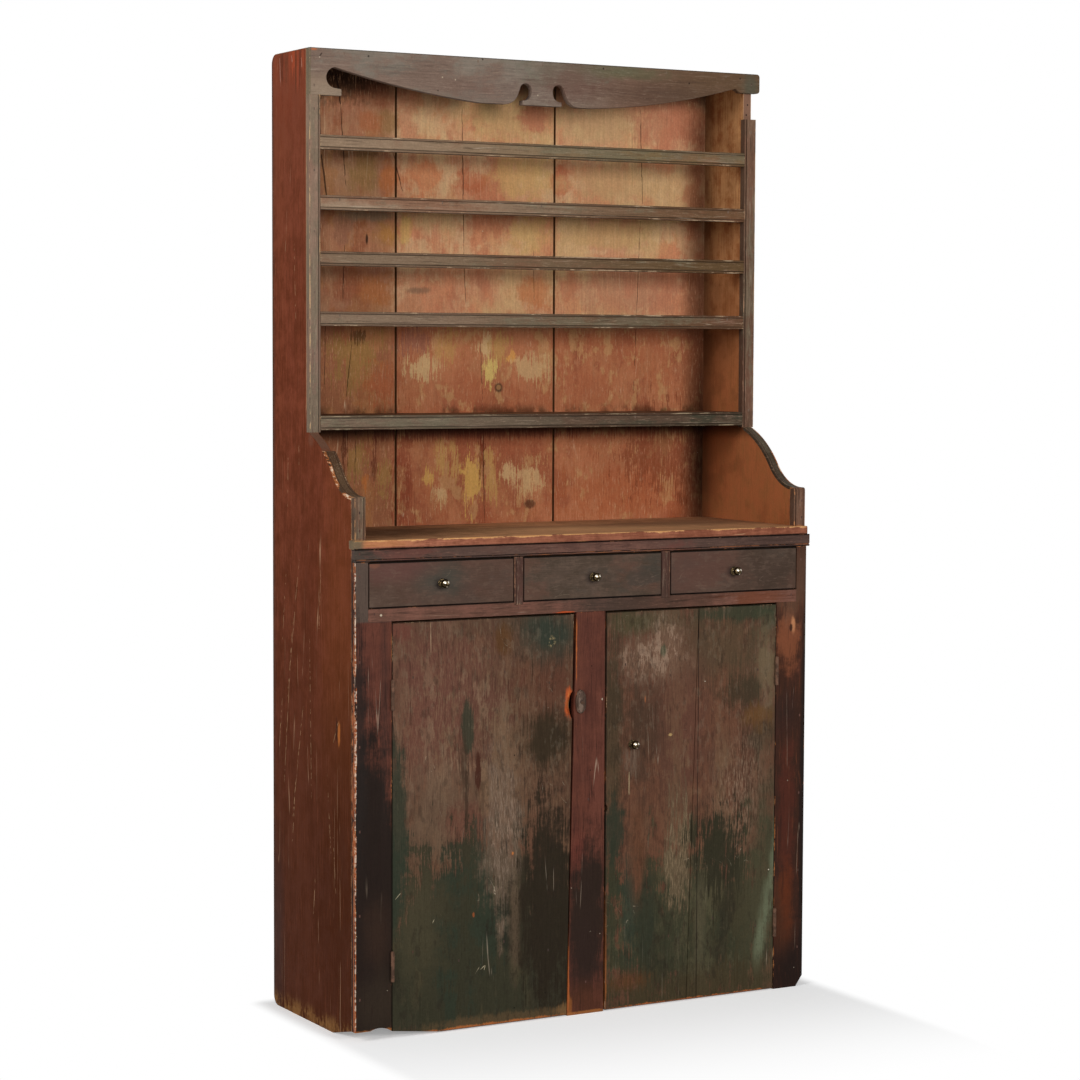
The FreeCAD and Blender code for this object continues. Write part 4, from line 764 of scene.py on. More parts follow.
def counter_paint():
    """Tan scrubbed top, salmon nosing, and a chipped orange arris between them."""
    low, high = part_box("counter_board")
    coat = Coat("counter_paint", (low, high), "#ab7d58", "counter_tan", "x", "xy", 0.6)
    tree = coat.tree
    x, y, z = tree.axes(coat.place)
    coat.clouds("#b08058", 7.0, 0.5, 0.62, 0.6, drawn=4.0)
    coat.clouds("#6b4936", 8.0, 0.54, 0.66, 0.6, drawn=4.0)
    # The two dark patches at the back, #422c20 and #5d4230, are painted shade under the upper case.
    coat.patches(
        ("#cf9c6e", 640, 150, 330, 70, 0.8, 2.2, 0.6), ("#422c20", 170, 230, 270, 160, 0.9, 1.4, 0.85),
        ("#5d4230", 960, 250, 260, 120, 0.8, 1.8, 0.65))
    coat.streaks("#c09468", 0.60, 0.70, 0.5)
    nosing = tree.ease(y, low.y + 0.0035, low.y + 0.0015)
    rosy = tree.mix(tree.ease(coat.tear, 0.38, 0.62), colour("#71412f"), colour("#8b5640"))
    left_end = tree.times(tree.ease(x, -0.18, -0.52), tree.ease(coat.tear, 0.4, 0.6))
    rosy = tree.mix(left_end, rosy, colour("#98604a"))
    coat.colour = tree.mix(nosing, coat.colour, rosy)
    coat.lay(nosing, "#4f3026", 0.6, tree.ease(z, high.z - 0.013, low.z))
    lit = tree.times(tree.ease(x, -0.40, -0.50), tree.ease(z, high.z - 0.016, high.z - 0.012))
    coat.lay(nosing, "#a87048", 0.7, lit)
    reach = tree.math("MAXIMUM", tree.scaled(coat.tear, 0.030, -0.0132), 0.0004)
    inward = tree.ease(tree.minus(y, low.y), reach, tree.times(reach, 0.8))
    downward = tree.ease(tree.minus(high.z, z), tree.times(reach, 0.9), tree.times(reach, 0.7))
    chipped = tree.times(inward, downward)
    coat.over(chipped, "#cf9d69", 0.95)
    coat.lay(chipped, "#96643e", 0.6, tree.ease(coat.dash, 0.5, 0.6))
    coat.patch("#55503f", 6, 8, 16, 40, 0.5, 0.8, 0.85)
    coat.scratches("#c4a27a", 0.007, 0.56, 0.6)
    coat.flecks("#33231a", 30.0, 0.08, 0.14, 0.7)
    coat.flecks("#d6be98", 40.0, 0.06, 0.08, 0.8)
    coat.worn("#b07c4c", 0.50, 0.9, 0.85)
    # Painted shadow along the foot of the nosing.
    coat.lay(nosing, "#0e0806", 0.95, tree.ease(z, low.z + 0.0030, low.z + 0.0016))
    return coat.done(0.62, 0.3, uneven=0.4)


def rail_paint(node):
    """Maroon rails with dark patches and a worn lower bead."""
    low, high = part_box(node)
    top = ("#523a32", "#6c4b40")
    low_tone, high_tone = top if node == "top_rail" else ("#5a3e33", "#6c483c")
    coat = Coat(node + "_paint", (low, high), low_tone, high_tone, "x", fibres=0.6)
    if node == "top_rail":
        coat.clouds("#4a3b34", 7.0, 0.46, 0.56, 0.75, drawn=4.0)
        coat.patches(
            ("#3f3831", 14, 12, 60, 30, 0.6, 1.4, 0.8), ("#41302a", 1080, 12, 160, 30, 0.8, 1.4, 0.7))
        coat.clouds("#5e3931", 10.0, 0.54, 0.62, 0.7, drawn=4.0)
        coat.patch("#a8683e", 700, 1, 200, 2, 0.4, 4.0, 0.8)
        coat.line("#15100d", "z", low.z + QUIRK, 0.0012, 0.9)
        coat.line("#a0623c", "z", low.z + 0.0050, 0.0011, 0.8, 0.52)
        # Painted shadow from the gap above the drawers on the lower edge, and painted shade under the
        # counter's nosing on the top edge.
        coat.line("#120c0a", "z", low.z, 0.0034, 0.95)
        coat.line("#0d0907", "z", high.z, 0.0030, 0.9)
    else:
        coat.patches(
            ("#3b3029", 610, 14, 120, 30, 0.7, 1.8, 0.85), ("#402e25", 760, 14, 120, 30, 0.7, 1.8, 0.6),
            ("#6a3822", 985, 12, 60, 16, 0.8, 3.4, 0.55, 1.0), ("#b04a22", 478, 1, 24, 2.4, 0.3, 2.4, 0.9),
            ("#b8a992", 30, 14, 2.5, 2.5, 0.4, 0.3, 0.9))
        # Painted shadow in the gap under the drawers.
        coat.line("#15100d", "z", high.z, 0.0016, 0.85)
    coat.streaks("#281b16", 0.43, 0.34, 0.45)
    coat.hairs("#80604f", 0.61, 0.70, 0.45)
    coat.worn("#a06a48", 0.44, 0.6, 0.85)
    coat.flecks("#c9b79e", 44.0, 0.065, 0.12, 0.85)
    coat.flecks("#1b130f", 36.0, 0.09, 0.12, 0.8)
    coat.scratches("#a08874", 0.007, 0.5, 0.45)
    coat.bare_back()
    return coat.done(0.6, 0.3, uneven=0.35)


def stile_paint(node):
    """Maroon stiles, black with handling and damp low down."""
    low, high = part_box(node)
    coat = Coat(node + "_paint", (low, high), "#4c2b22", "frame_maroon", "z", fibres=0.7)
    tree = coat.tree
    rail_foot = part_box("drawer_rail")[0].z
    coat.clouds("#61382d", 6.0, 0.52, 0.64, 0.5, drawn=4.0)
    if node == "stile_left":
        coat.fade("#4c4038", "z", rail_foot - 0.003, rail_foot + 0.003, 0.92)
        coat.patches(
            ("#1b1511", 38, 245, 62, 410, 0.2, 0.9, 0.96), ("#201a17", 6, 600, 22, 240, 0.4, 1.6, 0.85),
            ("#34241b", 50, 210, 30, 60, 0.8, 1.8, 0.6), ("#33291f", 60, 60, 60, 60, 0.8, 1.6, 0.6),
            ("#2c221e", 70, 700, 10, 240, 0.8, 1.4, 0.4))
        middle = tree.band(coat.along("z"), 0.30, 0.5, 0.74, 0.86)
        most = tree.scaled(middle, 0.0022, 0.0026)
        reach = tree.math("MINIMUM", tree.scaled(coat.tear, 0.036, -0.0145), most)
        reach = tree.math("MAXIMUM", reach, 0.0003)
        outer = tree.minus(coat.along("x"), low.x)
        depth = tree.minus(coat.along("y"), low.y)
        coat.over(tree.ease(outer, 0.0012, 0.0006), "#2f1b13", 0.92)
        bright = tree.ease(outer, reach, tree.times(reach, 0.8))
        round_arris = tree.ease(depth, tree.times(reach, 4.0), tree.times(reach, 3.2))
        bright = tree.times(bright, round_arris)
        ground = tree.mix(tree.ease(coat.dash, 0.50, 0.58), colour("#8c421f"), colour("#b87c52"))
        ground = tree.mix(tree.ease(coat.fine, 0.50, 0.44), ground, colour("#35201a"))
        pale = tree.ease(tree.noise(coat.place, 190.0, 3.0), 0.50, 0.56)
        pale = tree.times(pale, tree.ease(depth, 0.0040, 0.0010))
        ground = tree.mix(tree.times(pale, 0.85), ground, colour("#cdb6a2"))
        coat.colour = tree.mix(tree.times(bright, 0.92), coat.colour, ground)
    elif node == "centre_stile":
        coat.patches(
            ("#5c2c24", 28, 357, 20, 48, 0.6, 1.8, 0.6), ("#241b15", 52, 225, 48, 160, 0.35, 1.4, 0.95),
            ("#2a1d18", 46, 120, 50, 90, 0.6, 1.8, 0.8), ("#4a2b1c", 45, 30, 50, 36, 0.8, 2.0, 0.7),
            ("#a2562c", 2, 80, 3, 100, 0.4, 2.6, 0.85), ("#a85c2e", 20, 790, 1.2, 100, 0.4, 4.5, 0.8),
            ("#c0b19a", 86, 699, 1.6, 2.4, 0.4, 1.2, 0.8))
        coat.line("#120c0a", "z", low.z, 0.0012, 0.5)
        coat.patch("#8a5228", 5, 12, 8, 24, 0.4, 3.4, 0.8, 1.0)
    else:
        coat.over(tree.ease(coat.tear, 0.25, 0.55), "#341f15", 0.9)
        coat.fade("#2b1a14", "z", 0.75, 0.45, 0.6)
        coat.streaks("#6c3a25", 0.57, 0.66, 0.4)
        coat.patches(
            ("#4a241a", 30, 400, 22, 180, 0.5, 2.6, 0.7), ("#4b2a1a", 24, 160, 24, 120, 0.5, 2.6, 0.7),
            ("#241a16", 30, 640, 34, 50, 0.8, 1.8, 0.6), ("#74432c", 30, 806, 30, 66, 0.4, 2.6, 0.85),
            ("#5d4030", 40, 905, 40, 50, 0.6, 2.0, 0.7), ("#ab7450", 46, 842, 6, 16, 0.4, 1.4, 0.85),
            ("#2b1812", 40, 835, 4, 8, 0.4, 1.2, 0.9), ("#1b1411", 84, 446, 16, 520, 0.3, 1.0, 0.92),
            ("#1a120f", 46, 40, 66, 62, 0.7, 1.6, 0.85), ("#5a2a15", 34, 215, 14, 70, 0.8, 2.0, 0.7),
            ("#50392c", 62, 960, 40, 70, 0.6, 1.8, 0.7))
    coat.streaks("#241713", 0.42, 0.33, 0.5)
    coat.scratches("#b09a84", 0.007, 0.48, 0.5)
    coat.flecks("#cbbba4", 42.0, 0.065, 0.12, 0.9)
    coat.flecks("#160f0c", 36.0, 0.09, 0.10, 0.7)
    coat.worn("#a8683a", 0.44, 0.7, 0.9)
    if node != "stile_right":
        coat.patch("#9a6032", 45, 3, 80, 4, 0.4, 2.6, 0.7)
    coat.bare_back()
    return coat.done(0.58, 0.28, uneven=0.35)


def drawer_paint(node):
    """Nearly black brown over maroon; bare behind the face."""
    low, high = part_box(node)
    coat = Coat(node + "_paint", (low, high), "#41352b", "drawer_dark", "x", fibres=0.35)
    wide = (high.x - low.x) / MM
    coat.clouds("#543b30", 7.0, 0.49, 0.60, 0.7, drawn=2.0)
    coat.clouds("#35342e", 8.0, 0.53, 0.63, 0.6, drawn=2.0)
    if node == "drawer_left_front":
        coat.patches(
            ("#4f372e", 200, 50, 240, 70, 0.9, 1.4, 0.55), ("#583a34", 60, 78, 80, 24, 0.7, 2.0, 0.7),
            ("#6a4637", 10, 92, 14, 8, 0.5, 1.8, 0.9))
        coat.patch("#3a3f38", wide * 0.5, 50, 50, 30, 0.8, 2.0, 0.6)
    elif node == "drawer_right_front":
        coat.patches(
            ("#523931", 70, 56, 110, 60, 0.8, 1.8, 0.7), ("#3a2c24", 280, 40, 90, 60, 0.8, 1.8, 0.7))
    coat.scratches("#8c7a69", 0.006, 0.52, 0.25, 0.35)
    coat.clouds("#675346", 110.0, 0.54, 0.64, 0.2, drawn=2.0, crisp=0.4)
    coat.hairs("#6e5a4c", 0.60, 0.70, 0.2)
    coat.flecks("#c9b9a2", 44.0, 0.06, 0.10, 0.85)
    # Painted shadow of the knob, below it and to its left.
    coat.patch("#2a2220", wide * 0.5 - 4, 44, 15, 13, 0.6, 0.8, 0.7)
    # A dark rim along every arris and a dark top edge: painted shadow in the gaps around the drawer.
    coat.worn("#140e0b", 0.95, 0.34, 0.9)
    coat.line("#0d0907", "z", high.z, 0.0030, 0.95)
    coat.worn("#a07150", 0.36, 0.6, 0.85)
    coat.bare("y", low.y + 0.004, low.y + 0.006)
    return coat.done(0.56, 0.28, uneven=0.18)


def left_door_paint():
    """Brown paint worn to pale grain in the middle, dark green at the foot and the corners."""
    low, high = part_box("door_left_board")
    coat = Coat("left_door_paint", (low, high), "#493227", "door_brown", "z")
    coat.clouds("#5c3c2d", 5.0, 0.47, 0.60, 0.6, drawn=2.5)
    coat.patches(
        ("#483729", 155, 873, 190, 26, 0.6, 2.4, 0.7), ("#5b3128", 16, 868, 32, 24, 0.6, 1.8, 0.8),
        ("#523225", 367, 740, 76, 76, 0.7, 2.0, 0.75), ("#623e33", 90, 720, 140, 160, 0.8, 2.0, 0.7))
    middle = coat.patch_mask(170, 610, 150, 260, 0.8, 2.4)
    coat.hairs("#765e49", 0.52, 0.61, 0.4, middle)
    coat.clouds("#78604c", 34.0, 0.53, 0.60, 0.5, middle, 2.5, 0.6)
    coat.clouds("#68513d", 9.0, 0.50, 0.60, 0.7, middle, 3.0, 0.8)
    coat.streaks("#31241b", 0.42, 0.35, 0.5, middle)
    coat.patches(
        ("#5d4a3a", 120, 470, 90, 100, 0.6, 3.0, 0.65), ("#5c392d", 175, 443, 52, 46, 0.5, 2.4, 0.75),
        ("door_green", 215, 110, 330, 160, 0.2, 0.8, 0.95),
        ("#312f22", 205, 185, 280, 205, 0.15, 2.6, 0.95))
    foot = coat.patch_mask(190, 180, 270, 205, 0.3, 1.8)
    coat.clouds("#293025", 6.0, 0.47, 0.57, 0.75, foot, 1.8, 0.5)
    coat.clouds("#443c2a", 9.0, 0.52, 0.61, 0.65, foot, 2.2, 0.5)
    coat.clouds("#211d16", 8.0, 0.54, 0.62, 0.6, foot, 2.0, 0.5)
    coat.patch("#443d2c", 66, 240, 50, 100, 0.8, 2.4, 0.6)
    streak = coat.patch_mask(268, 420, 40, 160, 0.45, 3.0)
    coat.over(streak, "#655243", 0.65)
    coat.hairs("#867363", 0.51, 0.59, 0.5, streak)
    coat.streaks("#2c241c", 0.43, 0.36, 0.6, streak)
    coat.patches(
        ("#524334", 297, 215, 13, 100, 0.6, 2.6, 0.8), ("#2a3025", 8, 440, 26, 190, 0.35, 1.8, 0.85),
        ("#261f16", 382, 240, 66, 235, 0.25, 1.8, 0.94), ("#2e2519", 380, 616, 62, 62, 0.5, 1.4, 0.92),
        ("#2c3229", 380, 850, 78, 54, 0.8, 1.2, 0.95), ("#51351c", 272, 838, 20, 30, 0.5, 2.4, 0.75),
        ("#2f3226", 181, 655, 13, 50, 0.25, 2.0, 0.85), ("#392b20", 172, 570, 7, 50, 0.5, 2.4, 0.7),
        ("#34271d", 178, 500, 5, 60, 0.3, 2.2, 0.7), ("#3b1f16", 207, 552, 7, 38, 0.3, 1.8, 0.9),
        ("#54432e", 275, 10, 175, 12, 0.5, 3.2, 0.75), ("#a36034", 240, 0, 230, 5, 0.4, 2.6, 0.85),
        ("#8a4a28", 196, 246, 2.0, 4, 0.4, 2.4, 0.8), ("#ae6a38", 292, 372, 3, 4, 0.4, 2.0, 0.9),
        ("#6f5233", 424, 8, 18, 12, 0.6, 3.2, 0.7, 1.0))
    wide = (high.x - low.x) / MM
    coat.patch("#ab4f27", wide - 8, 694, 14, 36, 0.2, 1.2, 0.95)
    coat.patch("#c0733d", wide - 12, 700, 2.5, 20, 0.3, 2.4, 0.7)
    cluster = coat.patch_mask(388, 830, 7, 9, 0.8, 1.0)
    coat.clouds("#a38e65", 130.0, 0.50, 0.56, 0.85, cluster, 1.0, 0.2)
    coat.stroke("#927a60", (90, 888), (92, 815), 1.4, 4.0, 0.3, 0.8)
    for start, end in (
            ((200, 116), (216, 138)), ((212, 124), (226, 134)), ((226, 134), (222, 122)),
            ((230, 144), (238, 150)), ((96, 236), (102, 250)), ((6, 296), (22, 312))):
        coat.stroke("#c2b394", start, end, 1.1, 5.0, 0.3, 0.8)
    return door_wear(coat, low)


def right_door_paint():
    """The right door: a pale patch by the latch side, a green foot and a blue-grey drip by the hinge."""
    low, high = around("door_right_board_inner", "door_right_board_outer")
    coat = Coat("right_door_paint", (low, high), "#483226", "#593b2d", "z")
    coat.clouds("#613f2e", 5.0, 0.48, 0.61, 0.6, drawn=2.5)
    coat.patches(
        ("#423d2a", 90, 862, 110, 28, 0.6, 2.2, 0.85), ("#453d2c", 300, 800, 150, 80, 0.8, 2.4, 0.6),
        ("#313426", 351, 876, 112, 20, 0.4, 2.0, 0.85), ("#323728", 430, 860, 26, 50, 0.5, 2.0, 0.8),
        ("#5e3c30", 195, 640, 66, 150, 0.8, 2.2, 0.6))
    for across, up, wide, tall in ((150, 818, 40, 56), (112, 778, 74, 44)):
        pale = coat.patch_mask(across, up, wide, tall, 0.7, 3.0, 0.4)
        coat.over(pale, "#694f3f", 0.55)
        coat.clouds("#8e7562", 50.0, 0.49, 0.57, 0.75, pale, 1.7, 0.9)
        coat.hairs("#89715c", 0.53, 0.60, 0.4, pale)
    coat.patches(
        ("#3e4735", 148, 795, 7, 11, 0.5, 3.0, 0.7), ("#63543f", 425, 740, 24, 110, 0.5, 2.4, 0.85),
        ("#372e21", 362, 690, 56, 34, 0.5, 2.4, 0.8), ("#392f23", 415, 602, 36, 46, 0.5, 2.2, 0.8),
        ("#614224", 404, 632, 32, 26, 0.6, 2.8, 0.7), ("#3a3022", 18, 626, 26, 190, 0.5, 2.0, 0.85),
        ("#3b2d22", 94, 633, 46, 96, 0.8, 2.0, 0.65), ("#655143", 62, 556, 17, 26, 0.4, 3.4, 0.6, 0.8))
    middle = coat.patch_mask(355, 455, 64, 130, 0.7, 2.4)
    coat.clouds("#6a513f", 8.0, 0.48, 0.60, 0.7, middle, 3.0, 0.7)
    coat.hairs("#846d59", 0.49, 0.60, 0.65, middle)
    coat.clouds("#654e39", 8.0, 0.5, 0.62, 0.5, coat.patch_mask(230, 500, 200, 200, 0.9, 2.0), 3.0, 0.6)
    coat.patch("#393525", 225, 150, 270, 196, 0.15, 2.8, 0.95)
    foot = coat.patch_mask(225, 155, 250, 180, 0.4, 2.2)
    coat.clouds("#303224", 6.0, 0.48, 0.57, 0.7, foot, 1.8, 0.5)
    coat.clouds("#4e4834", 9.0, 0.52, 0.61, 0.65, foot, 2.4, 0.6)
    coat.clouds("#242018", 8.0, 0.55, 0.63, 0.6, foot, 2.0, 0.5)
    coat.patch("#583928", 79, 325, 22, 100, 0.4, 2.4, 0.85)
    tongue = coat.patch_mask(190, 320, 34, 100, 0.3, 3.2, 1.0)
    coat.over(tongue, "#61503c", 0.7)
    coat.hairs("#7f6c54", 0.49, 0.58, 0.6, tongue)
    coat.patches(
        ("#2c291d", 300, 325, 62, 84, 0.25, 3.0, 0.92, 0.8), ("#2e2d21", 440, 330, 18, 60, 0.4, 2.0, 0.85),
        ("#2b2e23", 107, 193, 24, 100, 0.5, 2.2, 0.7), ("#413d2c", 425, 190, 52, 250, 0.6, 1.2, 0.85))
    for across, up, wide, tall, strength in (
            (451, 330, 5, 70, 0.5), (443, 250, 6, 62, 0.6), (430, 190, 8, 50, 0.6),
            (417, 135, 10, 44, 0.65), (405, 92, 9, 38, 0.5)):
        coat.patch("#6a7058", across, up, wide, tall, 0.95, 1.4, strength, 0.8)
    coat.patches(
        ("#4f4937", 250, 150, 14, 110, 0.6, 2.6, 0.6), ("#3e3322", 226, 24, 250, 44, 0.7, 2.6, 0.7),
        ("#5b371f", 60, 60, 40, 20, 0.7, 3.0, 0.6), ("#a65e34", 226, 0, 230, 3.2, 0.4, 4.0, 0.8),
        ("#8f542b", 1, 100, 3, 120, 0.4, 2.2, 0.85), ("#2c2f24", 22, 400, 26, 56, 0.4, 2.4, 0.85),
        ("#2a342b", 62, 230, 18, 120, 0.7, 2.6, 0.6))
    coat.line("#9a552a", "x", low.x, 0.0013, 0.8, 0.54)
    coat.patches(
        ("#9e5b34", 101, 690, 2.2, 9, 0.4, 2.4, 0.7), ("#b19361", 168, 606, 4, 2.4, 0.4, 3.4, 0.8))
    coat.stroke("#b19e78", (60, 530), (60, 478), 1.4, 2.0, 0.3, 0.8)
    coat.line("#17100c", "x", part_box("door_right_board_inner")[1].x, 0.0013, 0.85)
    coat.patch("#958b70", 454, 450, 2.5, 330, 0.5, 2.0, 0.6)
    return door_wear(coat, low)


def door_wear(coat, low):
    """What both doors share: scratches, specks, worn edges, a dark rim of painted shade, and bare boards
    inside.
    """
    coat.streaks("#1f1813", 0.38, 0.30, 0.35)
    upper = coat.tree.ease(coat.along("z"), 0.35, 0.60)
    coat.clouds("#776c5a", 95.0, 0.56, 0.64, 0.14, upper, 2.2, 0.6)
    coat.clouds("#211a14", 80.0, 0.56, 0.64, 0.35, drawn=2.6, crisp=0.5)
    coat.scratches("#ab9b86", 0.005, 0.42, 0.4)
    coat.scratches("#b5a68e", 0.006, 0.38, 0.5, 0.5)
    coat.flecks("#d3c8b0", 40.0, 0.085, 0.20, 0.9)
    coat.flecks("#b8a892", 105.0, 0.11, 0.20, 0.6)
    coat.flecks("#dbd2bb", 17.0, 0.044, 0.28, 0.9)
    coat.flecks("#15100d", 26.0, 0.07, 0.10, 0.8)
    # A dark rim along every arris: painted shade in the gaps around the door.
    coat.worn("#15100c", 0.95, 0.3, 0.85)
    coat.worn("#94785c", 0.42, 0.6, 0.8)
    coat.bare("y", low.y + 0.012, low.y + 0.014)
    return coat.done(0.6, 0.5, 0.04, 0.45)


def plain_pine(node, along, dark="#6f5238", light="bare_pine"):
    """Unpainted pine, gone brown with age."""
    coat = Coat(node + "_pine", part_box(node), dark, light, along)
    coat.clouds("#7d5a3a", 6.0, 0.5, 0.68, 0.5, drawn=4.0)
    coat.streaks("#4f3823", 0.44, 0.34, 0.45)
    coat.streaks("#b08d63", 0.60, 0.74, 0.3)
    coat.flecks("#3f2c1c", 20.0, 0.05, 0.12, 0.6)
    coat.worn("#a07b50", 0.5, 1.0, 0.5)
    return coat.done(0.80, 0.4)


def shelf_paint(node):
    """Brown shelves, rubbed along the middle."""
    coat = Coat(node + "_paint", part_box(node), "#553a29", "#6d4a33", "x", "xy")
    coat.clouds("#7d5739", 6.0, 0.5, 0.66, 0.5, drawn=5.0)
    coat.streaks("#3b281c", 0.43, 0.33, 0.45)
    coat.scratches("#93775a", 0.005, 0.55, 0.4)
    return coat.done(0.72, 0.3)


def old_metal(name, ground, patina, metallic, rough, scale, specular=0.1):
    """Brass or iron with a patina that gathers in soft patches."""
    material, tree, shader = new_material(name)
    place = tree.node("TexCoord").outputs["Object"]
    patch = tree.ease(tree.noise(place, scale, 4.0, 0.6), 0.42, 0.62)
    fine = tree.noise(place, scale * 6.0, 3.0, 0.6)
    bump = tree.node("Bump", {"Strength": 0.25, "Distance": 0.0004, "Height": fine})
    links = material.node_tree.links
    links.new(tree.mix(patch, colour(ground), colour(patina)), shader.inputs["Base Color"])
    links.new(tree.ease(fine, 0.3, 0.7, rough - 0.08, rough + 0.1), shader.inputs["Roughness"])
    links.new(bump.outputs[0], shader.inputs["Normal"])
    shader.inputs["Metallic"].default_value = metallic
    shader.inputs["Specular IOR Level"].default_value = specular
    return material


def knob_brass():
    """Brass gone dark, with highlights painted as bright spots on the front of the ball."""
    material, tree, shader = new_material("old_brass")
    coordinates = tree.node("TexCoord").outputs
    place, spread = coordinates["Object"], coordinates["Generated"]
    patch = tree.ease(tree.noise(place, 260.0, 3.0, 0.6), 0.42, 0.62)
    shown = tree.mix(patch, colour("#2b2318"), colour("brass"))
    front = tree.ease(tree.axes(spread)[1], 0.52, 0.44)
    # Painted highlights: two bright spots high on the ball and a small one low down, on its front half.
    for place_on_ball, radius in (
            ((0.27, 0.5, 0.66), 0.15), ((0.70, 0.5, 0.67), 0.16), ((0.52, 0.5, 0.16), 0.08)):
        away = tree.vector("MULTIPLY", tree.vector("SUBTRACT", spread, place_on_ball), (1.0, 0.0, 1.0))
        painted_highlight = tree.ease(tree.vector("LENGTH", away, out=1), radius, radius * 0.5)
        shown = tree.mix(tree.times(painted_highlight, front), shown, colour("#efe6d4"))
    links = material.node_tree.links
    links.new(shown, shader.inputs["Base Color"])
    links.new(tree.ease(patch, 0.0, 1.0, 0.22, 0.34), shader.inputs["Roughness"])
    shader.inputs["Metallic"].default_value = 1.0
    return material


def nail_paint():
    """Painted-over nail heads, greyer above the counter than below it."""
    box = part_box("carcass_nails")
    coat = Coat("nail_paint", box, "#43302a", "#5c4038", "z")
    coat.fade("#6b5a4d", "z", COUNTER + 0.05, COUNTER + 0.2, 0.9)
    coat.flecks("#2a1f1a", 90.0, 0.5, 0.4, 0.7)
    coat.bare("y", 0.212, 0.214)
    return coat.done(0.72, 0.3)


# -------------------------------------------------------------------------------------------------
# Meshes
# -------------------------------------------------------------------------------------------------
BODY_OF = {node: body for body, nodes in frame["record"]["behaviour"]["bodies"].items() for node in nodes}
SHARP = math.radians(35)
SMALL_FEATURE = 0.009       # holes and leaf mortises stay crisp
SHORT_EDGE = 0.0022         # steps of a fine bead, which stay crisp in a flat chain of edges
THICK_CHAIN = 0.004
SAME_POINT = 0.00001
FLAT = math.radians(0.6)    # faces that meet at less are one face


def dress(node, material):
    """Give a carried-over solid its finish."""
    solid = frame["nodes"][node]
    solid.data.materials.clear()
    solid.data.materials.append(material)


def place_piece(mesh, name, node, material):
    """Turn a finished mesh into a piece that stands for a node."""
    data = bpy.data.meshes.new(name)
    mesh.to_mesh(data)
    mesh.free()
    data.materials.append(material)
    for face in data.polygons:
        face.use_smooth = True
    data.set_sharp_from_angle(angle=SHARP)
    piece = bpy.data.objects.new(name, data)
    bpy.context.scene.collection.objects.link(piece)
    flat = piece.modifiers.new("flat_faces", "WEIGHTED_NORMAL")
    flat.keep_sharp = True
    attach(piece, BODY_OF[node])
    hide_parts(node)
    return piece


def arrises(mesh):
    """Convex sharp edges, apart from those around small holes and mortises."""
    sharp = {e for e in mesh.edges if e.is_manifold and e.is_convex and e.calc_face_angle() > SHARP}
    kept = []
    while sharp:
        chain = {sharp.pop()}
        reach = set(chain)
        while reach:
            ends = {v for e in reach for v in e.verts}
            reach = {e for v in ends for e in v.link_edges if e in sharp}
            sharp -= reach
            chain |= reach
        points = [v.co for e in chain for v in e.verts]
        spans = sorted(max(p[i] for p in points) - min(p[i] for p in points) for i in range(3))
        if spans[1] > SMALL_FEATURE:
            kept += [e for e in chain if e.calc_length() > SHORT_EDGE or spans[0] > THICK_CHAIN]
    return sorted(kept, key=lambda edge: edge.index)


def soften(node, material, size="arris"):
    """A board with its arrises worn round by one of the settings, standing for its solid."""
    width = getattr(bpy.context.scene.cupboard_sizes, size)
    mesh = bmesh.new()
    mesh.from_mesh(frame["nodes"][node].data)
    bmesh.ops.remove_doubles(mesh, verts=mesh.verts, dist=SAME_POINT)
    bmesh.ops.dissolve_limit(mesh, angle_limit=FLAT, verts=mesh.verts, edges=mesh.edges)
    mesh.edges.index_update()
    before = abs(mesh.calc_volume())
    bmesh.ops.bevel(mesh, geom=arrises(mesh), offset=width, offset_type="OFFSET", segments=2, profile=0.5,
                    affect="EDGES", clamp_overlap=True)
    bmesh.ops.triangulate(mesh, faces=[f for f in mesh.faces if len(f.verts) > 4])
    if abs(abs(mesh.calc_volume()) / before - 1) > 0.05:
        raise RuntimeError(node + ": the arrises did not round cleanly")
    return place_piece(mesh, "worn_" + node, node, material)


def turned_knob(node, material):
    """A lathe-turned brass knob: dished base, waisted neck and ball head."""
    low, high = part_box(node)
    centre = (low + high) / 2
    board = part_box("drawer_left_front")[0].y if "drawer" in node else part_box("door_left_board")[0].y
    base = (high.z - low.z) / 2
    reach = board - low.y
    head = base * 0.97
    profile = [(0.0, -(high.y - board)), (0.0022, -(high.y - board)), (0.0022, 0.0), (base, 0.0),
               (base, 0.0008), (base * 0.93, 0.0016), (base * 0.80, 0.0020), (base * 0.72, 0.0019),
               (base * 0.60, 0.0026), (base * 0.47, 0.0042), (base * 0.40, 0.0062), (base * 0.40, 0.0072),
               (base * 0.50, 0.0080), (base * 0.52, 0.0086)]
    middle = reach - head
    first = math.asin(min(1.0, base * 0.50 / head))
    steps = 16
    for step in range(steps + 1):
        turn = math.pi - first - (math.pi - first) * step / steps
        profile.append((head * math.sin(turn), middle + head * math.cos(turn) * 0.97))
    mesh = bmesh.new()
    line = [mesh.verts.new((radius, -out, 0)) for radius, out in profile]
    edges = [mesh.edges.new(pair) for pair in zip(line, line[1:])]
    bmesh.ops.spin(mesh, geom=line + edges, cent=(0, 0, 0), axis=(0, 1, 0), angle=2 * math.pi, steps=40,
                   use_merge=True)
    bmesh.ops.remove_doubles(mesh, verts=mesh.verts, dist=0.000005)
    bmesh.ops.recalc_face_normals(mesh, faces=mesh.faces)
    mesh.transform(Matrix.Translation((centre.x, board, centre.z)))
    return place_piece(mesh, "turned_" + node, node, material)


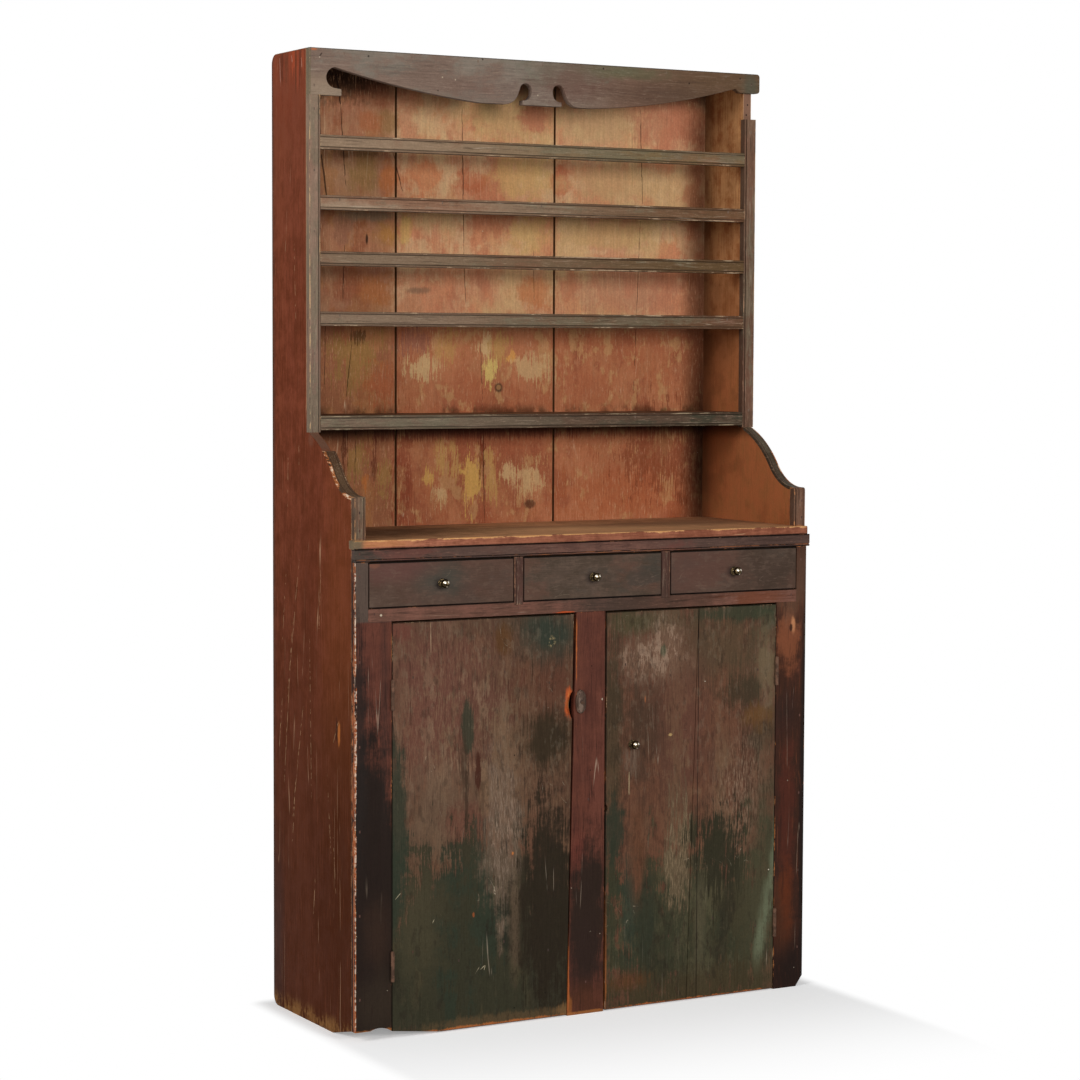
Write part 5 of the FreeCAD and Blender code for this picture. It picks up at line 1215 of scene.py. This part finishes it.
def whittled_button(material):
    """The oval turn button, its face worn to a low dome."""
    low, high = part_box("turn_button")
    centre, half = (low + high) / 2, (high - low) / 2
    rings = ((1.0, 0.0), (1.0, 0.45), (0.985, 0.72), (0.94, 0.88), (0.86, 0.97), (0.62, 1.0), (0.12, 1.0))
    count = 48
    mesh = bmesh.new()
    loops = []
    for share, rise in rings:
        loop = []
        for step in range(count):
            turn = 2 * math.pi * step / count
            loop.append(mesh.verts.new((centre.x + half.x * share * math.cos(turn),
                                        high.y - (high.y - low.y) * rise,
                                        centre.z + half.z * share * math.sin(turn))))
        loops.append(loop)
    for inner, outer in zip(loops, loops[1:]):
        for step in range(count):
            after = (step + 1) % count
            mesh.faces.new((inner[step], inner[after], outer[after], outer[step]))
    mesh.faces.new(loops[0])
    mesh.faces.new(loops[-1])
    bmesh.ops.recalc_face_normals(mesh, faces=mesh.faces)
    return place_piece(mesh, "worn_turn_button", "turn_button", material)


# -------------------------------------------------------------------------------------------------
# Operators
# -------------------------------------------------------------------------------------------------
class CUPBOARD_OT_groups(bpy.types.Operator):
    """Build the shared grain, wear, scratch, fleck and stroke effects"""
    bl_idname = "cupboard.groups"
    bl_label = "Shared effects"

    def execute(self, context):
        make_groups()
        return {"FINISHED"}


class CUPBOARD_OT_sides(bpy.types.Operator):
    """Paint and wear the two full-height side boards"""
    bl_idname = "cupboard.sides"
    bl_label = "Side boards"

    def execute(self, context):
        for node in ("side_left", "side_right"):
            soften(node, side_paint(node), "side_arris")
        return {"FINISHED"}


class CUPBOARD_OT_back(bpy.types.Operator):
    """Paint the three back boards"""
    bl_idname = "cupboard.back"
    bl_label = "Back boards"

    def execute(self, context):
        paint = back_paint()
        for node in ("backboard_left", "backboard_centre", "backboard_right"):
            soften(node, paint, "back_arris")
        return {"FINISHED"}


class CUPBOARD_OT_shelves(bpy.types.Operator):
    """Paint the shelves and the top board"""
    bl_idname = "cupboard.shelves"
    bl_label = "Shelves and top"

    def execute(self, context):
        for node in ("shelf_upper", "shelf_middle", "shelf_lower"):
            soften(node, shelf_paint(node))
        soften("top_board", plain_pine("top_board", "x", "#5d4632", "#7a5d42"))
        return {"FINISHED"}


class CUPBOARD_OT_strips(bpy.types.Operator):
    """Paint the beaded shelf edges, plate rails and face strips"""
    bl_idname = "cupboard.strips"
    bl_label = "Beaded strips"

    def execute(self, context):
        for node, left, right, warm, wear in (
                ("plate_rail_upper", "#836d58", "#6c593c", "#73533f", "#b39a7c"),
                ("shelf_edge_upper", "#8b7560", "#5f4530", "#744b36", "#b39a7c"),
                ("plate_rail_lower", "#735f4c", "#58432c", "#6a4936", "#b39a7c"),
                ("shelf_edge_middle", "#766250", "#5a412e", "#6d4b3c", "#b39a7c"),
                ("shelf_edge_lower", "#6e5c4c", "#3a372b", "#573f32", "#94846a")):
            soften(node, trim_paint(node, left, right, warm, wear), "strip_arris")
        for node, foot, top, warm, wear, plain in (
                ("face_strip_left", "#775f51", "#866d5c", "#6e4a3c", "#b08a62", "low"),
                ("face_strip_right", "#5a4335", "#69503f", "#6b4838", "#8f6e55", "high")):
            soften(node, trim_paint(node, foot, top, warm, wear, "z", plain=plain), "strip_arris")
        return {"FINISHED"}


class CUPBOARD_OT_frieze(bpy.types.Operator):
    """Paint the sawn frieze"""
    bl_idname = "cupboard.frieze"
    bl_label = "Frieze"

    def execute(self, context):
        soften("frieze_board", frieze_paint())
        return {"FINISHED"}


class CUPBOARD_OT_ogees(bpy.types.Operator):
    """Paint the ogee and cheek strips"""
    bl_idname = "cupboard.ogees"
    bl_label = "Ogee and cheek strips"

    def execute(self, context):
        for node, left, right, warm, wear, along, amount, size in (
                ("ogee_strip_left", "#4b3626", "#55402e", "#5d3c28", "#c9a47e", "y", 0.6, "ogee_arris"),
                ("ogee_strip_right", "#44392c", "#54493a", "#4d3b30", "#9a7a55", "y", 0.5, "ogee_arris"),
                ("cheek_strip_left", "#6b5c4b", "#5c4e3f", "#6f4d3c", "#b08258", "z", 0.6, "back_arris"),
                ("cheek_strip_right", "#5e4536", "#6a4f3f", "#664636", "#b0764a", "z", 0.6, "back_arris")):
            soften(node, trim_paint(node, left, right, warm, wear, along, amount), size)
        return {"FINISHED"}


class CUPBOARD_OT_counter(bpy.types.Operator):
    """Finish the counter board"""
    bl_idname = "cupboard.counter"
    bl_label = "Counter"

    def execute(self, context):
        soften("counter_board", counter_paint(), "counter_arris")
        return {"FINISHED"}


class CUPBOARD_OT_front(bpy.types.Operator):
    """Paint the rails, dividers and stiles of the lower front"""
    bl_idname = "cupboard.front"
    bl_label = "Rails and stiles"

    def execute(self, context):
        for node in ("top_rail", "drawer_rail"):
            soften(node, rail_paint(node), "back_arris")
        dividers = trim_paint("drawer_dividers", "#3f2d26", "#46332b", "#4e342c", "#7d5a45", "z")
        soften("drawer_dividers", dividers, "ogee_arris")
        for node in ("stile_left", "centre_stile", "stile_right"):
            soften(node, stile_paint(node))
        return {"FINISHED"}


class CUPBOARD_OT_drawers(bpy.types.Operator):
    """Finish the three drawers"""
    bl_idname = "cupboard.drawers"
    bl_label = "Drawers"

    def execute(self, context):
        for place in ("left", "centre", "right"):
            name = "drawer_" + place
            soften(name + "_front", drawer_paint(name + "_front"), "drawer_arris")
            soften(name + "_sides", plain_pine(name + "_sides", "y", "#7d6043", "#a07e58"), "back_arris")
            soften(name + "_bottom", plain_pine(name + "_bottom", "x", "#7a5c3e", "#98754f"), "bottom_arris")
        return {"FINISHED"}


class CUPBOARD_OT_doors(bpy.types.Operator):
    """Finish the two plank doors and their battens"""
    bl_idname = "cupboard.doors"
    bl_label = "Doors"

    def execute(self, context):
        soften("door_left_board", left_door_paint())
        paint = right_door_paint()
        for node in ("door_right_board_inner", "door_right_board_outer"):
            soften(node, paint)
        for node in ("door_left_battens", "door_right_battens"):
            soften(node, plain_pine(node, "x"), "side_arris")
        return {"FINISHED"}


class CUPBOARD_OT_inside(bpy.types.Operator):
    """Finish the bare boards inside the lower case"""
    bl_idname = "cupboard.inside"
    bl_label = "Inside boards"

    def execute(self, context):
        for node in ("bottom_board", "inner_shelf", "runner_back_rail"):
            soften(node, plain_pine(node, "x"), "ogee_arris")
        for node in ("drawer_runners", "shelf_cleats"):
            soften(node, plain_pine(node, "y"), "ogee_arris")
        return {"FINISHED"}


class CUPBOARD_OT_metal(bpy.types.Operator):
    """Finish the knobs, hinges, screws and nails"""
    bl_idname = "cupboard.metal"
    bl_label = "Knobs, hinges and nails"

    def execute(self, context):
        brass = knob_brass()
        for node in ("drawer_left_knob", "drawer_centre_knob", "drawer_right_knob", "door_knob"):
            turned_knob(node, brass)
        painted = old_metal("painted_hinge", "#64493a", "#45342a", 0.0, 0.6, 60.0, 0.04)
        rusty = old_metal("old_iron", "iron", "#4a3528", 0.3, 0.55, 90.0)
        for node in ("hinge_frame_leaves", "hinge_pins", "door_left_hinge_leaves",
                     "door_right_hinge_leaves"):
            dress(node, painted)
        for node in ("frame_screws", "door_left_fixings", "door_right_fixings"):
            dress(node, rusty)
        dress("carcass_nails", nail_paint())
        return {"FINISHED"}


class CUPBOARD_OT_button(bpy.types.Operator):
    """Shape and finish the turn button"""
    bl_idname = "cupboard.button"
    bl_label = "Turn button"

    def execute(self, context):
        coat = Coat("button_wood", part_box("turn_button"), "#4a3a31", "#5d4a40", "z")
        coat.streaks("#35281f", 0.45, 0.36, 0.6)
        coat.clouds("#7d6a5c", 60.0, 0.50, 0.60, 0.6, drawn=2.0)
        coat.worn("#2a1f19", 0.95, 0.7, 0.7)
        whittled_button(coat.done(0.57, 0.3))
        return {"FINISHED"}


class CUPBOARD_OT_stage(bpy.types.Operator):
    """Set the floor, the white surround, the soft lamps and the camera"""
    bl_idname = "cupboard.stage"
    bl_label = "Studio"

    def execute(self, context):
        set_floor(context.scene.cupboard_sizes.floor_size)
        set_world()
        for name, place, size, power in (
                ("key_softbox", (1.3, -5.8, 2.3), 1.4, 172.0),
                ("camera_softbox", (-2.6, -5.6, 2.2), 1.6, 72.0),
                ("side_softbox", (-5.3, -1.6, 2.9), 2.2, 190.0)):
            set_lamp(name, Vector(place), Vector((0, 0, 1.0)), size, power)
        set_camera(context.scene)
        context.scene.view_settings.view_transform = "Standard"
        return {"FINISHED"}


# -------------------------------------------------------------------------------------------------
# Studio
# -------------------------------------------------------------------------------------------------
CAMERA_PLACE = Vector((-3.1167, -5.4819, 1.4697))
CAMERA_YAW = math.radians(29.476)       # to the right of +Y
CAMERA_PITCH = math.radians(-3.905)
CAMERA_ROLL = math.radians(0.231)
CAMERA_LENS = 93.507                    # millimetres, on a 36 mm sensor


def seen_directly(tree):
    """1 for the rays that should find a white surround: from the camera, off gloss or through glass."""
    rays = tree.node("LightPath").outputs
    some = tree.math("MAXIMUM", rays["Is Camera Ray"], rays["Is Glossy Ray"])
    return tree.math("MAXIMUM", some, rays["Is Transmission Ray"])


def set_floor(size):
    """A pale floor that goes to white away from the cupboard and keeps its shadow."""
    mesh = bmesh.new()
    bmesh.ops.create_grid(mesh, x_segments=1, y_segments=1, size=size / 2)
    data = bpy.data.meshes.new("studio_floor")
    mesh.to_mesh(data)
    mesh.free()
    floor = bpy.data.objects.new("studio_floor", data)
    bpy.context.scene.collection.objects.link(floor)
    material = bpy.data.materials.new("floor_paper")
    material.use_nodes = True
    nodes = material.node_tree
    nodes.nodes.clear()
    tree = Tree(nodes)
    place = tree.node("TexCoord").outputs["Object"]
    before = tree.vector("MULTIPLY", tree.vector("SUBTRACT", solid_box[0], place), (14.0, 1.0, 0.0))
    beyond = tree.vector("MULTIPLY", tree.vector("SUBTRACT", place, solid_box[1]), (14.0, 14.0, 0.0))
    outward = tree.vector("MAXIMUM", tree.vector("MAXIMUM", before, beyond), (0.0, 0.0, 0.0))
    away = tree.vector("LENGTH", outward, out=1)
    seen = seen_directly(tree)
    paper = tree.node("BsdfDiffuse", {"Color": (0.82, 0.82, 0.82, 1)}).outputs[0]
    lift = tree.node("Emission", {"Strength": tree.times(seen, 0.30)}).outputs[0]
    lit = tree.node("AddShader", {0: paper, 1: lift}).outputs[0]
    glow = tree.node("Emission", {"Strength": 1.0}).outputs[0]
    share = tree.times(tree.ease(away, 0.0, 0.75), seen)
    shown = tree.node("MixShader", {0: share, 1: lit, 2: glow}).outputs[0]
    tree.node("OutputMaterial", {0: shown})
    data.materials.append(material)


def set_world():
    """Even soft light, with a white surround for the camera, gloss and glass."""
    world = bpy.data.worlds.new("studio")
    world.use_nodes = True
    nodes = world.node_tree
    nodes.nodes.clear()
    tree = Tree(nodes)
    soft = tree.node("Background", {"Color": (0.96, 0.98, 1.0, 1), "Strength": 0.16}).outputs[0]
    white = tree.node("Background", {"Color": (1, 1, 1, 1), "Strength": 1.0}).outputs[0]
    shown = tree.node("MixShader", {0: seen_directly(tree), 1: soft, 2: white}).outputs[0]
    tree.node("OutputWorld", {0: shown})
    bpy.context.scene.world = world


def set_lamp(name, place, target, size, power):
    """A square softbox that faces a point."""
    lamp = bpy.data.lights.new(name, "AREA")
    lamp.shape = "SQUARE"
    lamp.size = size
    lamp.energy = power
    holder = bpy.data.objects.new(name, lamp)
    holder.location = place
    holder.rotation_euler = (target - place).to_track_quat("-Z", "Y").to_euler()
    bpy.context.scene.collection.objects.link(holder)


def set_camera(scene):
    """A camera a little over counter height, to the left of the cupboard."""
    ahead = Vector((math.sin(CAMERA_YAW) * math.cos(CAMERA_PITCH),
                    math.cos(CAMERA_YAW) * math.cos(CAMERA_PITCH), math.sin(CAMERA_PITCH)))
    level = Vector((math.cos(CAMERA_YAW), -math.sin(CAMERA_YAW), 0))
    above = level.cross(ahead)
    across = level * math.cos(CAMERA_ROLL) + above * math.sin(CAMERA_ROLL)
    upward = above * math.cos(CAMERA_ROLL) - level * math.sin(CAMERA_ROLL)
    lens = bpy.data.cameras.new("studio_camera")
    lens.sensor_width = 36.0
    lens.lens = CAMERA_LENS
    lens.clip_end = 200.0
    holder = bpy.data.objects.new("studio_camera", lens)
    turn = Matrix((across, upward, -ahead)).transposed().to_4x4()
    holder.matrix_world = Matrix.Translation(CAMERA_PLACE) @ turn
    scene.collection.objects.link(holder)
    scene.camera = holder


class CUPBOARD_PT_sidebar(bpy.types.Panel):
    """Lists the cupboard's pieces and settings"""
    bl_idname = "CUPBOARD_PT_sidebar"
    bl_label = "Step back cupboard"
    bl_space_type = "VIEW_3D"
    bl_region_type = "UI"
    bl_category = "Cupboard"

    def draw(self, context):
        for operator in OPERATORS:
            self.layout.operator(operator.bl_idname)
        for settings in (context.scene.cupboard_colours, context.scene.cupboard_sizes):
            for name in settings.bl_rna.properties.keys():
                if name not in ("rna_type", "name"):
                    self.layout.prop(settings, name)


OPERATORS = (CUPBOARD_OT_groups, CUPBOARD_OT_sides, CUPBOARD_OT_back, CUPBOARD_OT_shelves,
             CUPBOARD_OT_strips, CUPBOARD_OT_frieze, CUPBOARD_OT_ogees, CUPBOARD_OT_counter,
             CUPBOARD_OT_front, CUPBOARD_OT_drawers, CUPBOARD_OT_doors, CUPBOARD_OT_inside,
             CUPBOARD_OT_metal, CUPBOARD_OT_button, CUPBOARD_OT_stage)
CLASSES = (CupboardColours, CupboardSizes, *OPERATORS, CUPBOARD_PT_sidebar)


def register():
    """Make the operators, the panel and the settings known."""
    for kind in CLASSES:
        bpy.utils.register_class(kind)
    bpy.types.Scene.cupboard_colours = bpy.props.PointerProperty(type=CupboardColours)
    bpy.types.Scene.cupboard_sizes = bpy.props.PointerProperty(type=CupboardSizes)


def unregister():
    """Take them away again."""
    del bpy.types.Scene.cupboard_sizes
    del bpy.types.Scene.cupboard_colours
    for kind in reversed(CLASSES):
        bpy.utils.unregister_class(kind)


def main():
    """Dress the cupboard and set the studio."""
    register()
    for operator in OPERATORS:
        getattr(bpy.ops.cupboard, operator.bl_idname.split(".")[1])()


if __name__ == "__main__":
    main()
